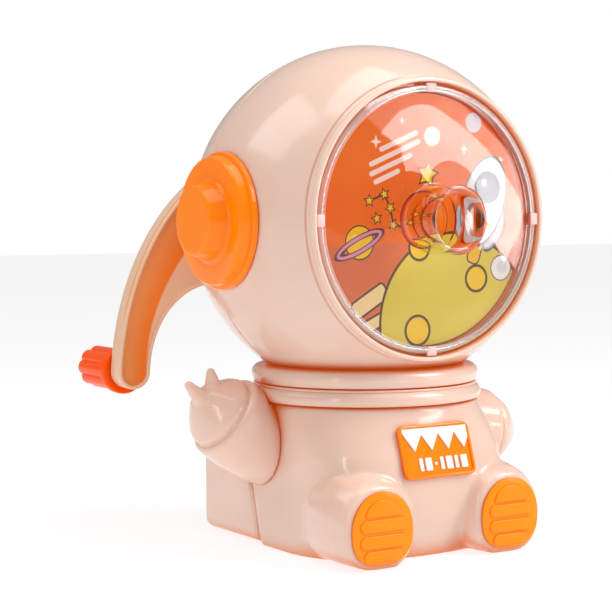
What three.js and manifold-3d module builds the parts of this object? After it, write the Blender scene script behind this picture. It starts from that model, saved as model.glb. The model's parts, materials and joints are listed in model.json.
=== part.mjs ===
// A hand-cranked pencil sharpener in the shape of a small spaceman.
// Millimetres, +Z up. The face looks along -Y, and the object's own right side is at -X.
// The origin is on the ground under the neck axis.
// The pencil axis is parallel to Y through the head's centre.
import * as THREE from "three";
import { mergeVertices } from "three/addons/utils/BufferGeometryUtils.js";
import Module from "manifold-3d";

const wasm = await Module();
wasm.setup();

// ---------------------------------------------------------------- driving dimensions
const GAP = 0.3; // clearance that touching pieces keep
const WALL = 2; // shell thickness

const HEAD_R = 45;
const HEAD_Z = 83.7;
const HEAD_SEAM_Y = 5; // the front and rear head shells meet here

const EAR_R = 17.1;
const EAR_SEAT_X = 41.7; // flat on each side of the head that the ear cap covers
const EAR_FACE_X = 46.1;
const EAR_BOSS_X = 50.8;
const EAR_PEG_R = 3; // peg on the back of the cap, pressed into the head

const LENS_R = 33.1;
const LENS_Y = -30; // front of the lens plate near its centre
const TUBE_R = 8.45;
const TUBE_BORE_R = 6.6;
const TUBE_END_Y = -41.2;
const CARD_Y = -26.5;
const LEDGE_R = 31.5; // hole in the head shell that the lens and the card cover

const COLLAR_BASE_Z = 37.9;
const COLLAR_TOP_Z = 42;
const NECK_TOP_Z = 46.7;
const CHUTE_HOLE_R = 14.5;

const BODY_SEAM_Y = 7; // the front body shell ends here at the ground, and the rear box begins
const BODY_SEAM_LEAN = 0.25; // how far the seam leans back for each millimetre of height
const BODY_TOP_Z = 37.6;
const BODY_BACK_Y = 36.8;
const BASE_T = 2.2; // thickness of the bottom cover
const BODY_HALF_W = 28.4;
const DRAWER_TOP_Z = 30;
const BOSS_TOP_Z = 14;

const LEG_X = 19.4;
const SOLE_Z = 9.8;
const SOLE_SEAT_Y = -35.8;
const SOLE_FRONT_Y = -36.9;

const PLATE_W = 21.4;
const PLATE_H = 13.4;
const CHEST_TILT = THREE.MathUtils.degToRad(18);

const CRANK_FRONT_Y = 46.6;
const CRANK_BACK_Y = 52.4;
const CRANK_HUB_R = 21;
const CRANK_END = { x: -43.6, z: 42.6, r: 4.7 };
const KNOB_END_Y = 71;

const PENCIL_BORE_R = 4.3;
const CONE_HALF_ANGLE = THREE.MathUtils.degToRad(11.5); // half the angle of a sharpened point
const CUTTER_R = 5.5;
const RING_TEETH = 36;
const PINION_TEETH = 12;
const RING_PITCH_R = 15.3;
const GEAR_Y = -12.5; // middle plane of the gear mesh
const CUTTER_AXIS_R = 10.19; // distance of the cutter axis from the pencil axis in that plane

// ---------------------------------------------------------------- finishes
function finish(color, roughness, metalness = 0) {
  return new THREE.MeshStandardMaterial({ color, roughness, metalness });
}
const PEACH = () => finish(0xf2d3c2, 0.25);
const ORANGE = () => finish(0xff7d0a, 0.25);
const RED_ORANGE = () => finish(0xf4560a, 0.35);
const CLEAR = () => finish(0xfafafa, 0.05);
const CARD = () => finish(0xf08030, 0.4);
const GREY_PLASTIC = () => finish(0x9a9a98, 0.5);
const WHITE_PLASTIC = () => finish(0xe8e6e0, 0.45);
const STEEL = () => finish(0xb8bcc0, 0.3, 1);
const ZINC = () => finish(0xc8c8c4, 0.35, 1);

// ---------------------------------------------------------------- solids
function toSolid(geometry) {
  const plain = geometry.clone();
  plain.deleteAttribute("normal");
  plain.deleteAttribute("uv");
  const merged = mergeVertices(plain, 1e-4);
  const made = new wasm.Manifold(
    new wasm.Mesh({
      numProp: 3,
      vertProperties: merged.attributes.position.array,
      triVerts: new Uint32Array(merged.index.array),
    }),
  );
  return made;
}

function toGeometry(solid) {
  const mesh = solid.getMesh();
  const geometry = new THREE.BufferGeometry();
  geometry.setAttribute("position", new THREE.BufferAttribute(mesh.vertProperties, 3));
  geometry.setIndex(new THREE.BufferAttribute(mesh.triVerts, 1));
  return geometry;
}

// Cuts every tool from the first geometry.
function cut(geometry, ...tools) {
  return toGeometry(tools.reduce((left, tool) => left.subtract(toSolid(tool)), toSolid(geometry)));
}

function join(...geometries) {
  return toGeometry(geometries.map(toSolid).reduce((sum, next) => sum.add(next)));
}

function box(x0, x1, y0, y1, z0, z1) {
  const geometry = new THREE.BoxGeometry(x1 - x0, y1 - y0, z1 - z0);
  return geometry.translate((x0 + x1) / 2, (y0 + y1) / 2, (z0 + z1) / 2);
}

// A turned piece. The profile is a list of [radius, height] corners, closed by itself or by the axis.
function turned(profile, segments = 32) {
  const corners = profile.map(([r, h]) => new THREE.Vector2(r, h));
  const touchesAxis = profile[0][0] === 0 && profile[profile.length - 1][0] === 0;
  if (!touchesAxis) corners.push(corners[0].clone());
  if (THREE.ShapeUtils.area(corners) < 0) corners.reverse();
  return new THREE.LatheGeometry(corners, segments);
}

// Turned about the pencil axis, where heights are Y values.
function turnedAlongY(profile, segments) {
  return turned(profile, segments).translate(0, 0, HEAD_Z);
}

// Turned about the neck axis, where heights are Z values.
function turnedAlongZ(profile, segments) {
  return turned(profile, segments).rotateX(Math.PI / 2);
}

function rod(radius, y0, y1, x = 0, z = HEAD_Z, segments = 16) {
  return new THREE.CylinderGeometry(radius, radius, y1 - y0, segments).translate(x, (y0 + y1) / 2, z);
}

function post(radius, z0, z1, x = 0, y = 0, segments = 16) {
  const geometry = new THREE.CylinderGeometry(radius, radius, z1 - z0, segments);
  return geometry.rotateX(Math.PI / 2).translate(x, y, (z0 + z1) / 2);
}

// A flat outline in X and Z, made into a plate between two Y planes.
function plate(shape, y0, y1, bevel = 0, curveSegments = 12) {
  const geometry = new THREE.ExtrudeGeometry(shape, {
    depth: y1 - y0 - 2 * bevel,
    bevelEnabled: bevel > 0,
    bevelThickness: bevel,
    bevelSize: bevel,
    bevelOffset: -bevel,
    bevelSegments: 2,
    curveSegments,
  });
  return geometry.rotateX(Math.PI / 2).translate(0, y1 - bevel, 0);
}

function roundedRectangle(x0, x1, z0, z1, radius) {
  const shape = new THREE.Shape();
  shape.moveTo(x0 + radius, z0);
  shape.lineTo(x1 - radius, z0);
  shape.absarc(x1 - radius, z0 + radius, radius, -Math.PI / 2, 0);
  shape.lineTo(x1, z1 - radius);
  shape.absarc(x1 - radius, z1 - radius, radius, 0, Math.PI / 2);
  shape.lineTo(x0 + radius, z1);
  shape.absarc(x0 + radius, z1 - radius, radius, Math.PI / 2, Math.PI);
  shape.lineTo(x0, z0 + radius);
  shape.absarc(x0 + radius, z0 + radius, radius, Math.PI, 1.5 * Math.PI);
  return shape;
}

// A closed skin over cross-sections that all have the same number of points, with flat ends.
function loft(sections) {
  const count = sections[0].length;
  const positions = sections.flat().flatMap((p) => [p.x, p.y, p.z]);
  const triangles = [];
  for (let s = 0; s + 1 < sections.length; s += 1) {
    for (let i = 0; i < count; i += 1) {
      const a = s * count + i;
      const b = s * count + ((i + 1) % count);
      triangles.push(a, b, b + count, a, b + count, a + count);
    }
  }
  for (const s of [0, sections.length - 1]) {
    const middle = sections[s].reduce((sum, p) => sum.add(p), new THREE.Vector3()).divideScalar(count);
    const tip = positions.length / 3;
    positions.push(middle.x, middle.y, middle.z);
    for (let i = 0; i < count; i += 1) {
      const a = s * count + i;
      const b = s * count + ((i + 1) % count);
      triangles.push(...(s === 0 ? [tip, b, a] : [tip, a, b]));
    }
  }
  const geometry = new THREE.BufferGeometry();
  geometry.setAttribute("position", new THREE.Float32BufferAttribute(positions, 3));
  geometry.setIndex(triangles);
  return toSolid(geometry).volume() < 0 ? turnedInsideOut(geometry) : geometry;
}

function turnedInsideOut(geometry) {
  const index = geometry.index.array;
  for (let i = 0; i < index.length; i += 3) [index[i + 1], index[i + 2]] = [index[i + 2], index[i + 1]];
  return geometry;
}

// Points of a circle around a centre, in the plane across a direction.
function ring(centre, direction, radius, count = 20) {
  const along = direction.clone().normalize();
  const side = new THREE.Vector3(0, 1, 0).cross(along).normalize();
  const up = along.clone().cross(side);
  return Array.from({ length: count }, (_, i) => {
    const angle = (2 * Math.PI * i) / count;
    return centre
      .clone()
      .addScaledVector(side, radius * Math.cos(angle))
      .addScaledVector(up, radius * Math.sin(angle));
  });
}

function mirroredX(geometry) {
  return turnedInsideOut(toGeometry(toSolid(geometry)).scale(-1, 1, 1));
}

const group = new THREE.Group();

function add(name, geometry, material) {
  const mesh = new THREE.Mesh(geometry, material);
  mesh.name = name;
  group.add(mesh);
}

// ---------------------------------------------------------------- head
// Corners of a circle of the given radius between two Y values, as [radius, y].
function sphereArc(radius, fromY, toY, steps) {
  return Array.from({ length: steps + 1 }, (_, i) => {
    const start = Math.asin(fromY / radius);
    const angle = start + ((Math.asin(toY / radius) - start) * i) / steps;
    return [radius * Math.cos(angle), radius * Math.sin(angle)];
  });
}

function headOpenings() {
  const seats = [-1, 1].map((side) => {
    const near = side * EAR_SEAT_X;
    const far = side * (HEAD_R + 5);
    return box(Math.min(near, far), Math.max(near, far), -30, 30, HEAD_Z - 30, HEAD_Z + 30);
  });
  const pegHoles = new THREE.CylinderGeometry(EAR_PEG_R + GAP, EAR_PEG_R + GAP, 100, 12);
  pegHoles.rotateZ(Math.PI / 2).translate(0, 0, HEAD_Z);
  const chuteHole = post(CHUTE_HOLE_R, HEAD_Z - HEAD_R - 2, HEAD_Z - HEAD_R + 10, 0, 0, 24);
  return [...seats, pegHoles, chuteHole];
}

const FLANGE_SCREWS = [90, 210, 330].map((degrees) => THREE.MathUtils.degToRad(degrees));
const FLANGE_SCREW_R = 33.4;

function headFrontShell() {
  const inner = HEAD_R - WALL;
  const profile = [
    ...sphereArc(HEAD_R, HEAD_SEAM_Y - GAP / 2, -29.2, 7),
    [34.9, -29.9],
    [34.4, -30.5],
    [33.4, -30.5],
    [33.4, -27.2],
    [LEDGE_R, -27.2],
    [LEDGE_R, -24.4],
    ...sphereArc(inner, -24.4, HEAD_SEAM_Y - GAP / 2, 3),
  ];
  const screwHoles = FLANGE_SCREWS.map((angle) => {
    const x = FLANGE_SCREW_R * Math.cos(angle);
    return rod(1, -26.4, -20, x, HEAD_Z + FLANGE_SCREW_R * Math.sin(angle), 8);
  });
  return cut(turnedAlongY(profile, 36), ...headOpenings(), ...screwHoles);
}

function headRearShell() {
  const inner = HEAD_R - WALL;
  const profile = [
    [5.7, 45.1],
    [12, 45.1],
    [12.8, 44.4],
    ...sphereArc(HEAD_R, 42.6, HEAD_SEAM_Y + GAP / 2, 7),
    ...sphereArc(inner, HEAD_SEAM_Y + GAP / 2, 41, 4),
    [5.7, 41.6],
  ];
  return cut(turnedAlongY(profile, 36), ...headOpenings());
}

function visorLens() {
  const profile = [
    [TUBE_BORE_R, -28],
    [TUBE_BORE_R, TUBE_END_Y + 0.4],
    [TUBE_BORE_R + 0.4, TUBE_END_Y],
    [TUBE_R - 0.4, TUBE_END_Y],
    [TUBE_R, TUBE_END_Y + 0.4],
    [TUBE_R, LENS_Y - 0.5],
    [28, LENS_Y - 0.2],
    [31.8, LENS_Y + 0.2],
    [LENS_R, LENS_Y + 1.3],
    [LENS_R, -27.5],
    [31.8, -27.5],
    [31.4, -28.4],
    [TUBE_R, -28.8],
    [TUBE_R, -28],
  ];
  return turnedAlongY(profile, 36);
}

function faceCard() {
  const profile = [
    [9.2, CARD_Y],
    [31.2, CARD_Y],
    [31.2, CARD_Y + 0.6],
    [9.2, CARD_Y + 0.6],
  ];
  return turnedAlongY(profile, 36);
}

// The cap's own axis is the turning axis, and it is laid along X afterwards.
function earCap() {
  const back = EAR_SEAT_X + GAP;
  const profile = [
    [0, EAR_BOSS_X],
    [7.3, EAR_BOSS_X],
    [8.1, EAR_BOSS_X - 0.6],
    [9.9, EAR_FACE_X + 0.2],
    [15.4, EAR_FACE_X],
    [16.2, back + 1.6],
    [EAR_R, back + 1],
    [EAR_R, back],
    [14.4, back],
    [14, EAR_FACE_X - 2],
    [EAR_PEG_R, EAR_FACE_X - 2],
    [EAR_PEG_R, back - 4.6],
    [0, back - 4.6],
  ];
  return turned(profile, 28).rotateZ(-Math.PI / 2).translate(0, 0, HEAD_Z);
}

function addHead() {
  add("head_front_shell", headFrontShell(), PEACH());
  add("head_rear_shell", headRearShell(), PEACH());
  add("visor_lens", visorLens(), CLEAR());
  add("face_card", faceCard(), CARD());
  add("ear_cap_left", earCap(), ORANGE());
  add("ear_cap_right", mirroredX(earCap()), ORANGE());
}

// ---------------------------------------------------------------- neck
function neckRing() {
  const clearSphere = HEAD_R + GAP + 0.1;
  const seat = [26.3, 24.5, 22.5, 20].map((r) => [r, HEAD_Z - Math.sqrt(clearSphere ** 2 - r ** 2)]);
  const profile = [
    [20, COLLAR_TOP_Z + GAP],
    [28.9, COLLAR_TOP_Z + GAP],
    [29.5, COLLAR_TOP_Z + GAP + 0.6],
    [29.6, 44.4],
    [28.7, 46.1],
    [27.3, NECK_TOP_Z],
    ...seat,
  ];
  return turnedAlongZ(profile);
}

function bodyCollar() {
  const profile = [
    [22, COLLAR_BASE_Z],
    [29.9, COLLAR_BASE_Z],
    [30.3, 39],
    [30.1, 40.2],
    [29.1, 41.6],
    [28.7, COLLAR_TOP_Z],
    [22, COLLAR_TOP_Z],
  ];
  return turnedAlongZ(profile);
}

// A funnel that leads the shavings from the cutter down through the neck.
function shavingsChute() {
  const chuteWall = 1.4;
  const level = (z, halfX, y0, y1, inset) => {
    const shape = roundedRectangle(-halfX + inset, halfX - inset, y0 + inset, y1 - inset, 3 - inset / 2);
    return shape.getPoints(4).slice(0, -1).map((p) => new THREE.Vector3(p.x, p.y, z));
  };
  const funnel = (bottom, top, inset) =>
    loft([
      level(bottom, 9.2, -8.2, 10.2, inset),
      level(44, 9.2, -8.2, 10.2, inset),
      level(top, 15, -10, 17, inset),
    ]);
  return cut(funnel(33.5, 61.5, 0), funnel(33, 62, chuteWall));
}

function addNeck() {
  add("neck_ring", neckRing(), PEACH());
  add("body_collar", bodyCollar(), PEACH());
  add("shavings_chute", shavingsChute(), WHITE_PLASTIC());
}

// ---------------------------------------------------------------- body
// Half width, depth in front of the neck axis and squareness of the body at each height.
const BODY_LEVELS = [
  { z: 0, halfWidth: 27.6, depth: 27.6, power: 2.7 },
  { z: 1, halfWidth: 28.2, depth: 28.4, power: 2.8 },
  { z: 10, halfWidth: BODY_HALF_W, depth: 31.6, power: 3.3 },
  { z: 20, halfWidth: BODY_HALF_W, depth: 32.9, power: 3.8 },
  { z: 26, halfWidth: BODY_HALF_W, depth: 31.4, power: 3.7 },
  { z: 31, halfWidth: BODY_HALF_W, depth: 29.8, power: 3 },
  { z: 35, halfWidth: BODY_HALF_W, depth: 28.9, power: 2.4 },
  { z: BODY_TOP_Z, halfWidth: 28.2, depth: 28.6, power: 2.2 },
];

// Y of the middle of the body seam at a height.
function seamY(z) {
  return BODY_SEAM_Y + BODY_SEAM_LEAN * z;
}

// Everything in front of the body seam, up to an offset behind it.
function frontOfSeam(offset) {
  const corners = [-20, 80].map((z) => [seamY(z) + offset, z]);
  const shape = new THREE.Shape([
    new THREE.Vector2(-60, -20),
    new THREE.Vector2(...corners[0]),
    new THREE.Vector2(...corners[1]),
    new THREE.Vector2(-60, 80),
  ]);
  const wedge = new THREE.ExtrudeGeometry(shape, { depth: 100, bevelEnabled: false });
  return wedge.rotateY(Math.PI / 2).rotateX(Math.PI / 2).translate(-50, 0, 0);
}

function bodySection(level, inset, backY) {
  const steps = 20;
  const points = [];
  for (let i = 0; i <= steps; i += 1) {
    const angle = (Math.PI * i) / steps;
    const c = Math.cos(angle);
    const s = Math.sin(angle);
    const x = Math.sign(c) * Math.abs(c) ** (2 / level.power) * (level.halfWidth - inset);
    const y = -(Math.abs(s) ** (2 / level.power)) * (level.depth - inset);
    points.push(new THREE.Vector3(x, y, level.z));
  }
  points.push(new THREE.Vector3(-level.halfWidth + inset, backY, level.z));
  points.push(new THREE.Vector3(level.halfWidth - inset, backY, level.z));
  return points;
}

function legSection(side, y, halfWidth, top, inset) {
  const steps = 16;
  const centreZ = top / 2;
  return Array.from({ length: steps }, (_, i) => {
    const angle = (2 * Math.PI * i) / steps;
    const s = Math.sin(angle);
    const power = s < 0 ? 2.8 : 2.1;
    const x = Math.sign(Math.cos(angle)) * Math.abs(Math.cos(angle)) ** (2 / power) * (halfWidth - inset);
    const z = centreZ + Math.sign(s) * Math.abs(s) ** (2 / power) * (top / 2 - inset);
    return new THREE.Vector3(side * LEG_X + x, y, z);
  });
}

function leg(side, inset) {
  const rows = [
    [-12, 8, 20],
    [-18, 10.2, 22.4],
    [-26, 11.2, 23],
    [-33, 10.5, 21.5],
    [SOLE_SEAT_Y, 9.3, 19.6],
  ];
  return loft(rows.map(([y, halfWidth, top]) => legSection(side, y + inset, halfWidth, top, inset)));
}

// A post that a bottom screw bites into, with a rib to the nearest wall.
function screwBoss([x, y]) {
  const foot = BASE_T + GAP;
  const wallX = x * 1.24;
  const sideRib = box(Math.min(x, wallX), Math.max(x, wallX), y - 1, y + 1, foot, BOSS_TOP_Z);
  const frontRib = box(-1, 1, -28, y, foot, BOSS_TOP_Z);
  return join(post(2.8, foot, BOSS_TOP_Z, x, y, 12), x === 0 ? frontRib : sideRib);
}

function bodyFrontShell() {
  const backY = (z) => seamY(z) - GAP / 2;
  const outer = loft(BODY_LEVELS.map((level) => bodySection(level, 0, backY(level.z))));
  const openBottom = { ...BODY_LEVELS[0], z: -1 };
  const ceiling = { ...BODY_LEVELS[BODY_LEVELS.length - 2], z: BODY_TOP_Z - WALL - 0.2 };
  const innerLevels = [openBottom, ...BODY_LEVELS.slice(1, -2), ceiling];
  const inner = loft(innerLevels.map((level) => bodySection(level, 2.2, backY(level.z) + 5)));
  const legs = [-1, 1].map((side) => leg(side, 0));
  const legHollows = [-1, 1].map((side) => leg(side, 2));
  const chuteHole = post(CHUTE_HOLE_R, 34, 40, 0, 0, 24);
  const belowGround = box(-50, 50, -50, 50, -5, 0);
  const shell = cut(join(outer, ...legs), inner, ...legHollows, chuteHole, belowGround);
  const screwHoles = BASE_SCREWS.map(([x, y]) => post(1.4, 0, 9, x, y, 10));
  return cut(join(shell, ...BASE_SCREWS.map(screwBoss)), ...screwHoles);
}

// Upper back of the body, which roofs the drawer.
function bodyRearShell() {
  const shape = roundedRectangle(-BODY_HALF_W, BODY_HALF_W, DRAWER_TOP_Z - 12, BODY_TOP_Z, 5);
  const outer = plate(shape, 0, BODY_BACK_Y, 2.4, 6);
  const below = box(-40, 40, 0, 50, 0, DRAWER_TOP_Z + GAP);
  const hollow = box(-26, 26, 5, BODY_BACK_Y - 2.4, 20, 35.4);
  const chuteHole = post(CHUTE_HOLE_R, 34, 40, 0, 0, 24);
  return cut(outer, frontOfSeam(GAP / 2), below, hollow, chuteHole);
}

const BASE_SCREWS = [
  [-21.8, 2.5],
  [21.8, 2.5],
  [0, -21],
];

// Bottom cover of the front body, with a tongue that the drawer slides on.
function baseCover() {
  const outline = bodySection(BODY_LEVELS[0], 2.6, BODY_SEAM_Y - 0.5);
  const top = outline.map((p) => p.clone().setZ(BASE_T));
  const cover = loft([outline, top]);
  const tongue = box(-16, 16, 5, 34, 0, BASE_T);
  const screwHoles = BASE_SCREWS.map(([x, y]) => {
    const headRecess = post(2.8, -1, 1.5, x, y, 12);
    return join(post(1.5, -1, 3, x, y, 10), headRecess);
  });
  return cut(join(cover, tongue), ...screwHoles);
}

function screw(headRadius, headHeight, shankRadius, shankLength) {
  const profile = [
    [0, 0],
    [headRadius, 0],
    [headRadius, headHeight],
    [shankRadius, headHeight],
    [shankRadius, headHeight + shankLength],
    [0, headHeight + shankLength],
  ];
  const slot = box(-headRadius * 2, headRadius * 2, -1, 0.4, -0.3, 0.3);
  return cut(turned(profile, 10), slot);
}

function soleShape() {
  const halfWidth = 8.8;
  const steps = 28;
  const points = Array.from({ length: steps }, (_, i) => {
    const angle = (2 * Math.PI * i) / steps;
    const s = Math.sin(angle);
    const power = s < 0 ? 2.7 : 2;
    const rise = s < 0 ? 8.3 : 9.3;
    const x = Math.sign(Math.cos(angle)) * Math.abs(Math.cos(angle)) ** (2 / power) * halfWidth;
    return new THREE.Vector2(x, SOLE_Z + Math.sign(s) * Math.abs(s) ** (2 / power) * rise);
  });
  return new THREE.Shape(points);
}

function sole(side) {
  return plate(soleShape(), SOLE_FRONT_Y, SOLE_SEAT_Y - GAP).translate(side * LEG_X, 0, 0);
}

function chestPlate() {
  const shape = roundedRectangle(-PLATE_W / 2, PLATE_W / 2, -PLATE_H / 2, PLATE_H / 2, 1.8);
  const board = plate(shape, -1.1, 0, 0, 5);
  return board.rotateX(-CHEST_TILT).translate(0, -31.55, 26.9);
}

function addBody() {
  add("body_front_shell", bodyFrontShell(), PEACH());
  add("body_rear_shell", bodyRearShell(), PEACH());
  add("base_cover", baseCover(), PEACH());
  BASE_SCREWS.forEach(([x, y], i) => {
    const placed = screw(2.4, 1, 1.1, 6).rotateX(Math.PI / 2).translate(x, y, 0.25);
    add(`base_screw_${i + 1}`, placed, STEEL());
  });
  add("sole_left", sole(1), ORANGE());
  add("sole_right", sole(-1), ORANGE());
  add("chest_plate", chestPlate(), ORANGE());
}

// ---------------------------------------------------------------- arms
// A sleeve from the shoulder to the cuff, and a mitten hand with two horn-like fingers.
function arm(shoulder, cuff, direction, horns) {
  const outward = new THREE.Vector3(Math.sign(cuff.x), 0, 0);
  const sleeve = loft([
    ring(shoulder, outward, 12.2),
    ring(cuff.clone().addScaledVector(direction, -1), direction, 10.9),
    ring(cuff, direction, 10.5),
  ]);
  const handRows = [
    [-1.5, 9.5],
    [2, 9.5],
    [6, 6.9],
    [8.6, 4.2],
    [9.9, 1.2],
  ];
  const along = (t) => cuff.clone().addScaledVector(direction, t);
  const hand = loft(handRows.map(([t, r]) => ring(along(t), direction, r)));
  const fingers = horns.map(([root, tip]) => {
    const reach = tip.clone().sub(root);
    const rows = [
      [-0.6, 2.5],
      [0.1, 2.3],
      [0.85, 1.4],
      [1, 0.6],
    ];
    return loft(rows.map(([t, r]) => ring(root.clone().addScaledVector(reach, t), reach, r, 10)));
  });
  const collarSpace = turnedAlongZ([[0, 37.4], [30.8, 37.4], [30.8, 42.2], [0, 42.2]]);
  return cut(join(sleeve, hand, ...fingers), collarSpace);
}

const vector = (x, y, z) => new THREE.Vector3(x, y, z);

function addArms() {
  const shoulderX = BODY_HALF_W + GAP;
  const raised = arm(
    vector(-shoulderX, 7.5, 27.8),
    vector(-38.6, 6, 34.4),
    vector(-0.8, 0, 0.6),
    [
      [vector(-42.6, 8, 42), vector(-43.6, 8, 46.8)],
      [vector(-46, 3, 39.2), vector(-50.2, 3, 43.6)],
    ],
  );
  const level = arm(
    vector(shoulderX, 6.5, 27.2),
    vector(42, 4.5, 25.5),
    vector(0.98, -0.1, -0.15).normalize(),
    [
      [vector(48.5, 8, 23), vector(51.5, 12.5, 22)],
      [vector(47, 6, 18.5), vector(49.5, 9.5, 15)],
    ],
  );
  add("arm_right", raised, PEACH());
  add("arm_left", level, PEACH());
}

// ---------------------------------------------------------------- shavings drawer
function shavingsDrawer() {
  const sides = roundedRectangle(-BODY_HALF_W, BODY_HALF_W, 0.4, DRAWER_TOP_Z + 8, 3);
  const rearBox = cut(plate(sides, 0, BODY_BACK_Y, 2.4, 6), frontOfSeam(GAP / 2));
  const bin = box(-18, 18, -17.5, 15, BASE_T + 0.4, 24);
  const above = box(-40, 40, 0, 50, DRAWER_TOP_Z, 60);
  const hollow = box(-16.2, 16.2, -15.7, BODY_BACK_Y - 2.4, 4.2, 50);
  const rearHollow = box(-26, 26, seamY(DRAWER_TOP_Z) + 2.4, BODY_BACK_Y - 2.4, 4.2, 50);
  const tongueSpace = box(-16.6, 16.6, 0, 34.6, 0, BASE_T + 0.4);
  return cut(join(rearBox, bin), above, hollow, rearHollow, tongueSpace);
}

// ---------------------------------------------------------------- sharpening mechanism
const PINION_PITCH_R = (RING_PITCH_R * PINION_TEETH) / RING_TEETH;
const RING_TIP_R = RING_PITCH_R - 0.55;
const RING_ROOT_R = RING_PITCH_R + 0.95;
const PINION_TIP_R = PINION_PITCH_R + 0.5;
const PINION_ROOT_R = PINION_PITCH_R - 0.95;

// Corners of a toothed circle: each tooth is a trapezium between the root and tip circles.
function toothedCircle(teeth, rootRadius, tipRadius, rootShare, tipShare, phase) {
  const points = [];
  for (let i = 0; i < teeth; i += 1) {
    const middle = phase + (2 * Math.PI * i) / teeth;
    const pitch = (2 * Math.PI) / teeth;
    const corners = [
      [rootRadius, -rootShare / 2],
      [tipRadius, -tipShare / 2],
      [tipRadius, tipShare / 2],
      [rootRadius, rootShare / 2],
    ];
    for (const [radius, share] of corners) {
      const angle = middle + share * pitch;
      points.push(new THREE.Vector2(radius * Math.cos(angle), radius * Math.sin(angle)));
    }
  }
  return points;
}

// The fixed housing holds the ring gear, and its front disc backs the face card.
function mechanismHousing() {
  const profile = [
    [7.2, -25.6],
    [31, -25.6],
    [31, -24.1],
    [35.2, -24.1],
    [35.2, -22.6],
    [19.6, -22.6],
    [19.6, 20.5],
    [17.7, 20.5],
    [17.7, -21.4],
    [7.2, -21.4],
  ];
  const shell = turnedAlongY(profile, 36);
  const gearShape = new THREE.Shape();
  gearShape.absarc(0, 0, 18.2, 0, 2 * Math.PI);
  const inwardTeeth = toothedCircle(RING_TEETH, RING_ROOT_R, RING_TIP_R, 0.56, 0.3, Math.PI / 2);
  gearShape.holes.push(new THREE.Path(inwardTeeth));
  const ringGear = plate(gearShape, GEAR_Y - 2.2, GEAR_Y + 2.2, 0, 18).translate(0, 0, HEAD_Z);
  const window = box(-10.5, 10.5, -7.5, 15, HEAD_Z - 30, HEAD_Z - 8);
  const screwHoles = FLANGE_SCREWS.map((angle) => {
    const x = FLANGE_SCREW_R * Math.cos(angle);
    return rod(1.2, -30, -20, x, HEAD_Z + FLANGE_SCREW_R * Math.sin(angle), 8);
  });
  return cut(join(shell, ringGear), window, ...screwHoles);
}

function guideBush() {
  const profile = [
    [PENCIL_BORE_R, -19.8],
    [PENCIL_BORE_R, -25.4],
    [5.8, -27.2],
    [8.5, -27.2],
    [8.5, -26],
    [6.8, -26],
    [6.8, -19.8],
  ];
  return turnedAlongY(profile, 24);
}

function rearBush() {
  const profile = [
    [3.3, 39.6],
    [5.3, 39.6],
    [5.3, 45.4],
    [7, 45.4],
    [7, 46.2],
    [3.3, 46.2],
  ];
  return turnedAlongY(profile, 20);
}

const CUTTER_TILT = -CONE_HALF_ANGLE;
const PINION_HALF = 1.5;

// Moves a piece made about the Y axis onto the cutter's axis, with the piece's origin in the gears' plane.
function onCutterAxis(geometry) {
  return geometry.rotateX(CUTTER_TILT).translate(0, GEAR_Y, HEAD_Z + CUTTER_AXIS_R);
}

function cutterPinion() {
  const halfTooth = Math.PI / PINION_TEETH;
  const teeth = toothedCircle(PINION_TEETH, PINION_ROOT_R, PINION_TIP_R, 0.52, 0.24, halfTooth);
  const gear = plate(new THREE.Shape(teeth), -PINION_HALF, PINION_HALF);
  const bore = new THREE.CylinderGeometry(1.6, 1.6, 10, 12);
  return onCutterAxis(cut(gear, bore));
}

// A steel roller whose teeth wind around it.
function helicalCutter() {
  const length = 20;
  const start = PINION_HALF + GAP;
  const rows = 8;
  const edges = 10;
  const twist = 1.6;
  const sections = Array.from({ length: rows + 1 }, (_, s) => {
    const turn = (twist * s) / rows;
    return Array.from({ length: edges * 2 }, (_, i) => {
      const angle = turn + (Math.PI * i) / edges;
      const radius = i % 2 ? CUTTER_R - 0.7 : CUTTER_R;
      return vector(radius * Math.cos(angle), start + (length * s) / rows, -radius * Math.sin(angle));
    });
  });
  const bore = new THREE.CylinderGeometry(1.6, 1.6, 60, 12);
  return onCutterAxis(cut(loft(sections), bore));
}

function cutterPin() {
  const profile = [
    [0, -5.2],
    [1.3, -5.2],
    [1.3, 25.6],
    [0, 25.6],
  ];
  return onCutterAxis(turned(profile, 12));
}

// A cage that turns with the crank and carries the cutter round the pencil.
function cutterCarrier() {
  const frontDisc = turnedAlongY([[4.6, -18.8], [13.8, -18.8], [13.8, -16.4], [4.6, -16.4]], 24);
  const rearDisc = rod(13.8, 11, 16, 0, HEAD_Z, 24);
  const bars = [-1, 1].map((side) => box(side * 9 - 2, side * 9 + 2, -17, 12, HEAD_Z - 8.6, HEAD_Z - 4.6));
  const pinHole = onCutterAxis(new THREE.CylinderGeometry(1.6, 1.6, 80, 12));
  const shaftHole = rod(3, 13, 20);
  return cut(join(frontDisc, rearDisc, ...bars), pinHole, shaftHole);
}

function driveShaft() {
  const shaft = rod(2.7, 13.3, 51.2);
  const flat = box(-5, 5, 46, 60, HEAD_Z + 2, HEAD_Z + 6);
  const screwHole = rod(1.3, 44, 60, 0, HEAD_Z, 10);
  return cut(shaft, flat, screwHole);
}

function addMechanism() {
  add("mechanism_housing", mechanismHousing(), GREY_PLASTIC());
  FLANGE_SCREWS.forEach((angle, i) => {
    const x = FLANGE_SCREW_R * Math.cos(angle);
    const z = HEAD_Z + FLANGE_SCREW_R * Math.sin(angle);
    const placed = screw(1.5, 0.9, 0.7, 3.4).rotateX(Math.PI).translate(x, -21.4, z);
    add(`housing_screw_${i + 1}`, placed, STEEL());
  });
  add("pencil_guide_bush", guideBush(), ORANGE());
  add("rear_bearing_bush", rearBush(), WHITE_PLASTIC());
  add("cutter_carrier", cutterCarrier(), ZINC());
  add("cutter_pin", cutterPin(), STEEL());
  add("drive_shaft", driveShaft(), STEEL());
  add("cutter_pinion", cutterPinion(), STEEL());
  add("helical_cutter", helicalCutter(), STEEL());
}

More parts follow.
